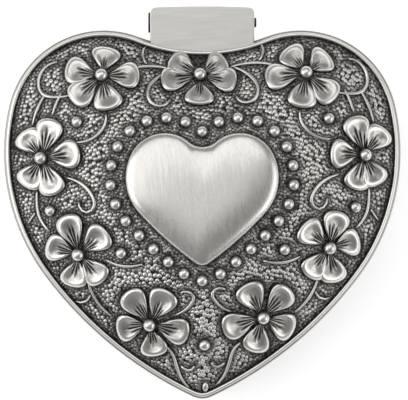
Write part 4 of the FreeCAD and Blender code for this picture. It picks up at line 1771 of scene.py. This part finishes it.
@dataclass(frozen=True)
class VelvetCushion:
    """A stuffed velvet heart, puffed by a cloth simulation, with piping round its seam.

    Attributes:
        name: The piece's name.
        node: The model node that it stands for.
        body: What it rides on.
        inset: How far its side lies inside the lip.
        rest_height: Height of its flat side, which is glued to its card.
        crown: Thickness in its middle, negative when it faces down.
    """

    name: str
    node: str
    body: Body
    inset: float
    rest_height: float
    crown: float
    edge: float = 0.55
    voxel: float = 1.0
    swell: float = 6.0
    pressure: float = 4.0
    frames: int = 20
    most_move: float = 0.65
    piping: float = 0.38

    @property
    def side(self) -> float:
        """The way that it faces: 1 up, -1 down."""
        return math.copysign(1.0, self.crown)

    def start_shape(self) -> bpy.types.Object:
        """The slab that is puffed, at the simulation's scale.

        Returns:
            The slab, linked and with its remesh still to be applied.
        """
        work = Workpiece(self.name + "_slab")
        thick = abs(self.crown) - self.edge
        rings = [
            (LIP.inset(self.inset + extra), self.rest_height + self.side * rise, 0.5)
            for extra, rise in ((1.3, 0.05), (0.6, 0.3), (0.5, 0.7), (0.9, 0.9 * thick), (2.4, thick))
        ]
        drawn = bridged(work, rings, 0.8)
        bmesh.ops.contextual_create(work.bm, geom=drawn[0])
        bmesh.ops.contextual_create(work.bm, geom=drawn[-1])
        face_outwards(work)
        bmesh.ops.scale(work.bm, verts=work.bm.verts, vec=(self.swell * MM,) * 3)
        mesh = bpy.data.meshes.new(work.name)
        work.bm.to_mesh(mesh)
        work.bm.free()
        slab = bpy.data.objects.new(work.name, mesh)
        bpy.context.scene.collection.objects.link(slab)
        remesh = slab.modifiers.new("voxels", "REMESH")
        remesh.mode = "VOXEL"
        remesh.voxel_size = self.voxel * self.swell * MM
        return slab

    def puffed(self, slab: bpy.types.Object) -> None:
        """Inflates the slab as cloth, and keeps each point near where it was.

        Args:
            slab: The object, which is changed.
        """
        before = [vert.co.copy() for vert in slab.data.vertices]
        cloth = slab.modifiers.new("puff", "CLOTH")
        cloth.settings.use_pressure = True
        cloth.settings.uniform_pressure_force = self.pressure
        cloth.settings.effector_weights.gravity = 0
        scene = bpy.context.scene
        for number in range(1, self.frames + 1):
            scene.frame_set(number)
        settle(slab)
        scene.frame_set(1)
        most = self.most_move * self.swell * MM
        for vert, start in zip(slab.data.vertices, before):
            move = vert.co - start
            if move.length > most:
                vert.co = start + move * (most / move.length)

    def build(self, material: bpy.types.Material) -> None:
        """Builds the cushion as one piece.

        Args:
            material: Its velvet.
        """
        slab = self.start_shape()
        settle(slab)
        self.puffed(slab)
        slab.modifiers.new("soften", "SUBSURF").levels = 1
        slab.modifiers["soften"].render_levels = 1
        settle(slab)
        slab.data.transform(Matrix.Scale(1 / self.swell, 4))
        rest = (self.rest_height + self.side * 0.03) * MM
        for vert in slab.data.vertices:
            vert.co.z = max(vert.co.z, rest) if self.side > 0 else min(vert.co.z, rest)
        bm = bmesh.new()
        bm.from_mesh(slab.data)
        work = Workpiece(self.name)
        middle = self.rest_height + self.side * 0.75
        rings = []
        for step in range(10):
            angle = math.tau * step / 10
            offset = self.inset + 0.42 - self.piping * math.cos(angle)
            rings.append((LIP.inset(offset), middle + self.piping * math.sin(angle), 0.5))
        bridged(work, rings, 0.7, closed=True)
        face_outwards(work)
        bmesh.ops.scale(work.bm, verts=work.bm.verts, vec=(MM, MM, MM))
        cord = bpy.data.meshes.new(self.name + "_piping")
        work.bm.to_mesh(cord)
        work.bm.free()
        bm.from_mesh(cord)
        bpy.data.meshes.remove(cord)
        slab.name = self.name
        slab.data.name = self.name
        bm.to_mesh(slab.data)
        bm.free()
        slab.data.polygons.foreach_set("use_smooth", [True] * len(slab.data.polygons))
        place(slab, self.body, Slot.VELVET, material, (self.node,))


def settle(piece: bpy.types.Object) -> None:
    """Applies every modifier of a piece to its mesh.

    Args:
        piece: The object, which is changed.
    """
    depsgraph = bpy.context.evaluated_depsgraph_get()
    mesh = bpy.data.meshes.new_from_object(piece.evaluated_get(depsgraph))
    piece.modifiers.clear()
    old = piece.data
    piece.data = mesh
    bpy.data.meshes.remove(old)


@dataclass
class Linings:
    """The velvet inside, the cards under it and the felt below the floor."""

    velvet: SoftGoods = SoftGoods("black_velvet", (0.004, 0.004, 0.005, 1), (0.022, 0.022, 0.026, 1))
    felt: SoftGoods = SoftGoods(
        "black_felt", (0.012, 0.012, 0.013, 1), (0.05, 0.05, 0.055, 1), fibre=4200.0, pile=0.2, sheen=0.2
    )
    card: SoftGoods = SoftGoods(
        "grey_card", (0.3, 0.28, 0.24, 1), (0.46, 0.43, 0.38, 1), fibre=3000.0, pile=0.04, sheen=0.0
    )
    strip_low: float = 6.3
    strip_high: float = 22.6
    strip_outer: float = 2.86
    strip_inner: float = 3.5
    felt_inset: float = 3.25
    felt_low: float = 2.85
    felt_high: float = 3.55
    hole_gap: float = 0.35

    def build(self) -> None:
        """Builds and dresses the linings."""
        velvet = self.velvet.make()
        card = self.card.make()
        dress("floor_card", card)
        dress("lid_card", card)
        floor_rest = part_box("floor_pad")[0].z / MM
        lid_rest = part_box("lid_pad")[1].z / MM
        VelvetCushion("floor_cushion", "floor_pad", Body.BASE, 3.8, floor_rest, 2.6).build(velvet)
        VelvetCushion("lid_cushion", "lid_pad", Body.LID, 4.3, lid_rest, -1.75).build(velvet)
        self.wall_strip(velvet)
        self.underside()

    def wall_strip(self, material: bpy.types.Material) -> None:
        """Builds the velvet strip round the inside of the wall, with a rolled upper hem.

        Args:
            material: Its velvet.
        """
        outer, inner, high = self.strip_outer, self.strip_inner, self.strip_high
        profile = (
            (outer, self.strip_low), (outer, high - 0.5), (outer + 0.04, high - 0.15),
            (outer + 0.25, high), (inner - 0.1, high), (inner + 0.12, high - 0.2),
            (inner + 0.12, high - 0.65), (inner - 0.06, high - 0.9),
            (inner, high - 1.3), (inner, self.strip_low),
        )
        work = Workpiece("wall_velvet")
        bridged(work, [(LIP.inset(inset), height, 0.5) for inset, height in profile], 0.7, closed=True)
        face_outwards(work)
        strip = work.finish(Body.BASE, Slot.VELVET, material, replaces=("wall_lining",))
        length = LIP.inset((outer + inner) / 2).length

    def underside(self) -> None:
        """Builds the felt sheet under the floor, cut out round the feet."""
        outline = LIP.inset(self.felt_inset)
        work = Workpiece("underside_felt")
        bm = work.bm
        outline.draw(bm, self.felt_low, outline.steps(0.8))
        for foot in ("foot_left", "foot_right", "foot_tip"):
            low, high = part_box(foot)
            middle = (low + high) / (2 * MM)
            radius = (high.x - low.x) / (2 * MM) + self.hole_gap
            hole = Matrix.Translation((middle.x, middle.y, self.felt_low))
            bmesh.ops.create_circle(bm, segments=56, radius=radius, matrix=hole)
        bmesh.ops.triangle_fill(bm, use_beauty=True, use_dissolve=False, edges=list(bm.edges))
        area = sum(face.calc_area() for face in bm.faces)
        up = bmesh.ops.extrude_face_region(bm, geom=list(bm.faces))["geom"]
        verts = [item for item in up if isinstance(item, bmesh.types.BMVert)]
        bmesh.ops.translate(bm, verts=verts, vec=(0, 0, self.felt_high - self.felt_low))
        face_outwards(work)
        sheet = work.finish(Body.BASE, Slot.FELT, self.felt.make(), replaces=("base_felt",))
        sharpen(sheet)


# ---------------------------------------------------------------- hinge and feet


@dataclass
class HingeAndFeet:
    """The finishes of the hinge's leaf, knuckle and pin, and of the bun feet."""

    leaf: BrushedPewter = BrushedPewter("brushed_leaf", tone=0.64, turn=86.0, roughness=0.34)
    knuckle: BrushedPewter = BrushedPewter("brushed_knuckle", tone=0.5, turn=90.0, roughness=0.42)
    pin: BrushedPewter = BrushedPewter("blackened_pin", tone=0.06, turn=90.0, roughness=0.4)
    feet: AgedPewter = AgedPewter("antiqued_feet", wear=0.66, bright=0.6)

    def build(self) -> None:
        """Dresses the model's own nodes."""
        dress("hinge_leaf", self.leaf.make())
        dress("hinge_knuckle", self.knuckle.make())
        dress("hinge_pin", self.pin.make())
        feet = self.feet.make()
        for foot in ("foot_left", "foot_right", "foot_tip"):
            dress(foot, feet)


# ---------------------------------------------------------------- studio


@dataclass(frozen=True)
class Softbox:
    """A plain rectangular light aimed at the box.

    Attributes:
        name: Its name.
        azimuth: Direction of the light from the box, in degrees from +X.
        tilt: How far from straight above it stands, in degrees.
        size: Its size along the tilt and across it, in metres.
        tone: Brightness of its face.
        distance: How far it stands, in metres.
    """

    name: str
    azimuth: float
    tilt: float
    size: tuple[float, float]
    tone: float
    distance: float = 1.0

    def build(self, target: Vector) -> None:
        """Adds the light.

        Args:
            target: The point that it faces.
        """
        lamp = bpy.data.lights.new(self.name, "AREA")
        lamp.shape = "RECTANGLE"
        lamp.size, lamp.size_y = self.size
        lamp.energy = self.tone * math.pi * self.size[0] * self.size[1]
        holder = bpy.data.objects.new(self.name, lamp)
        bpy.context.scene.collection.objects.link(holder)
        azimuth, tilt = math.radians(self.azimuth), math.radians(self.tilt)
        low = math.sin(tilt)
        back = Vector((low * math.cos(azimuth), low * math.sin(azimuth), math.cos(tilt)))
        side = Vector((-math.sin(azimuth), math.cos(azimuth), 0))
        down_tilt = side.cross(back)
        axes = Matrix((down_tilt, side, back)).transposed().to_4x4()
        holder.matrix_world = Matrix.Translation(target + back * self.distance) @ axes
        holder.visible_camera = False


@dataclass
class Studio:
    """A pale sweep under soft light, seen from straight above."""

    view_width: float = 92.4
    view_middle: tuple[float, float] = (0.4, 0.6)
    focus_height: float = 27.5
    camera_height: float = 2.0
    sensor: float = 36.0
    floor_size: float = 6.0
    lights: tuple[Softbox, ...] = (
        Softbox("key_box", 118.0, 25.0, (0.94, 1.8), 1.03),
        Softbox("left_strip", 184.0, 63.0, (0.55, 0.9), 1.95),
        Softbox("right_strip", -14.0, 61.0, (0.5, 1.0), 1.65),
    )
    sky: float = 0.28

    def build(self) -> None:
        """Adds the camera, the lights, the sky and the floor."""
        target = Vector((0, 0, self.focus_height * MM))
        lens = self.sensor * self.camera_height / (self.view_width * MM)
        camera = bpy.data.cameras.new("overhead_camera")
        camera.lens = lens
        camera.sensor_width = self.sensor
        camera.clip_end = 20.0
        holder = bpy.data.objects.new("overhead_camera", camera)
        bpy.context.scene.collection.objects.link(holder)
        middle = Vector((*self.view_middle, 0.0)) * MM
        holder.location = middle + target + Vector((0, 0, self.camera_height))
        bpy.context.scene.camera = holder
        for light in self.lights:
            light.build(target)
        self.sweep()
        world = bpy.data.worlds.new("studio_sky")
        world.use_nodes = True
        world.node_tree.nodes["Background"].inputs["Color"].default_value = (self.sky, self.sky, self.sky, 1)
        bpy.context.scene.world = world
        bpy.context.scene.view_settings.view_transform = "Standard"

    def sweep(self) -> None:
        """Adds the plain pale floor."""
        bm = bmesh.new()
        bmesh.ops.create_grid(bm, x_segments=1, y_segments=1, size=self.floor_size / 2)
        mesh = bpy.data.meshes.new("floor")
        bm.to_mesh(mesh)
        bm.free()
        floor = bpy.data.objects.new("floor", mesh)
        bpy.context.scene.collection.objects.link(floor)
        nodes, shader, where = new_material("pale_floor")
        tone = nodes.spread(nodes.noise(where, 40.0), 0.3, 0.7, 0.0, 1.0)
        paper = nodes.mix(tone, (0.86, 0.86, 0.86, 1), (0.9, 0.9, 0.9, 1))
        nodes.tree.links.new(paper, shader.inputs["Base Color"])
        shader.inputs["Roughness"].default_value = 0.9
        shader.inputs["Emission Color"].default_value = (1, 1, 1, 1)
        shader.inputs["Emission Strength"].default_value = 0.55
        mesh.materials.append(bpy.data.materials["pale_floor"])


def main() -> None:
    """Builds the whole box in order."""
    Studio().build()
    Lid().build()
    Tub().build()
    Linings().build()
    HingeAndFeet().build()


if __name__ == "__main__":
    main()
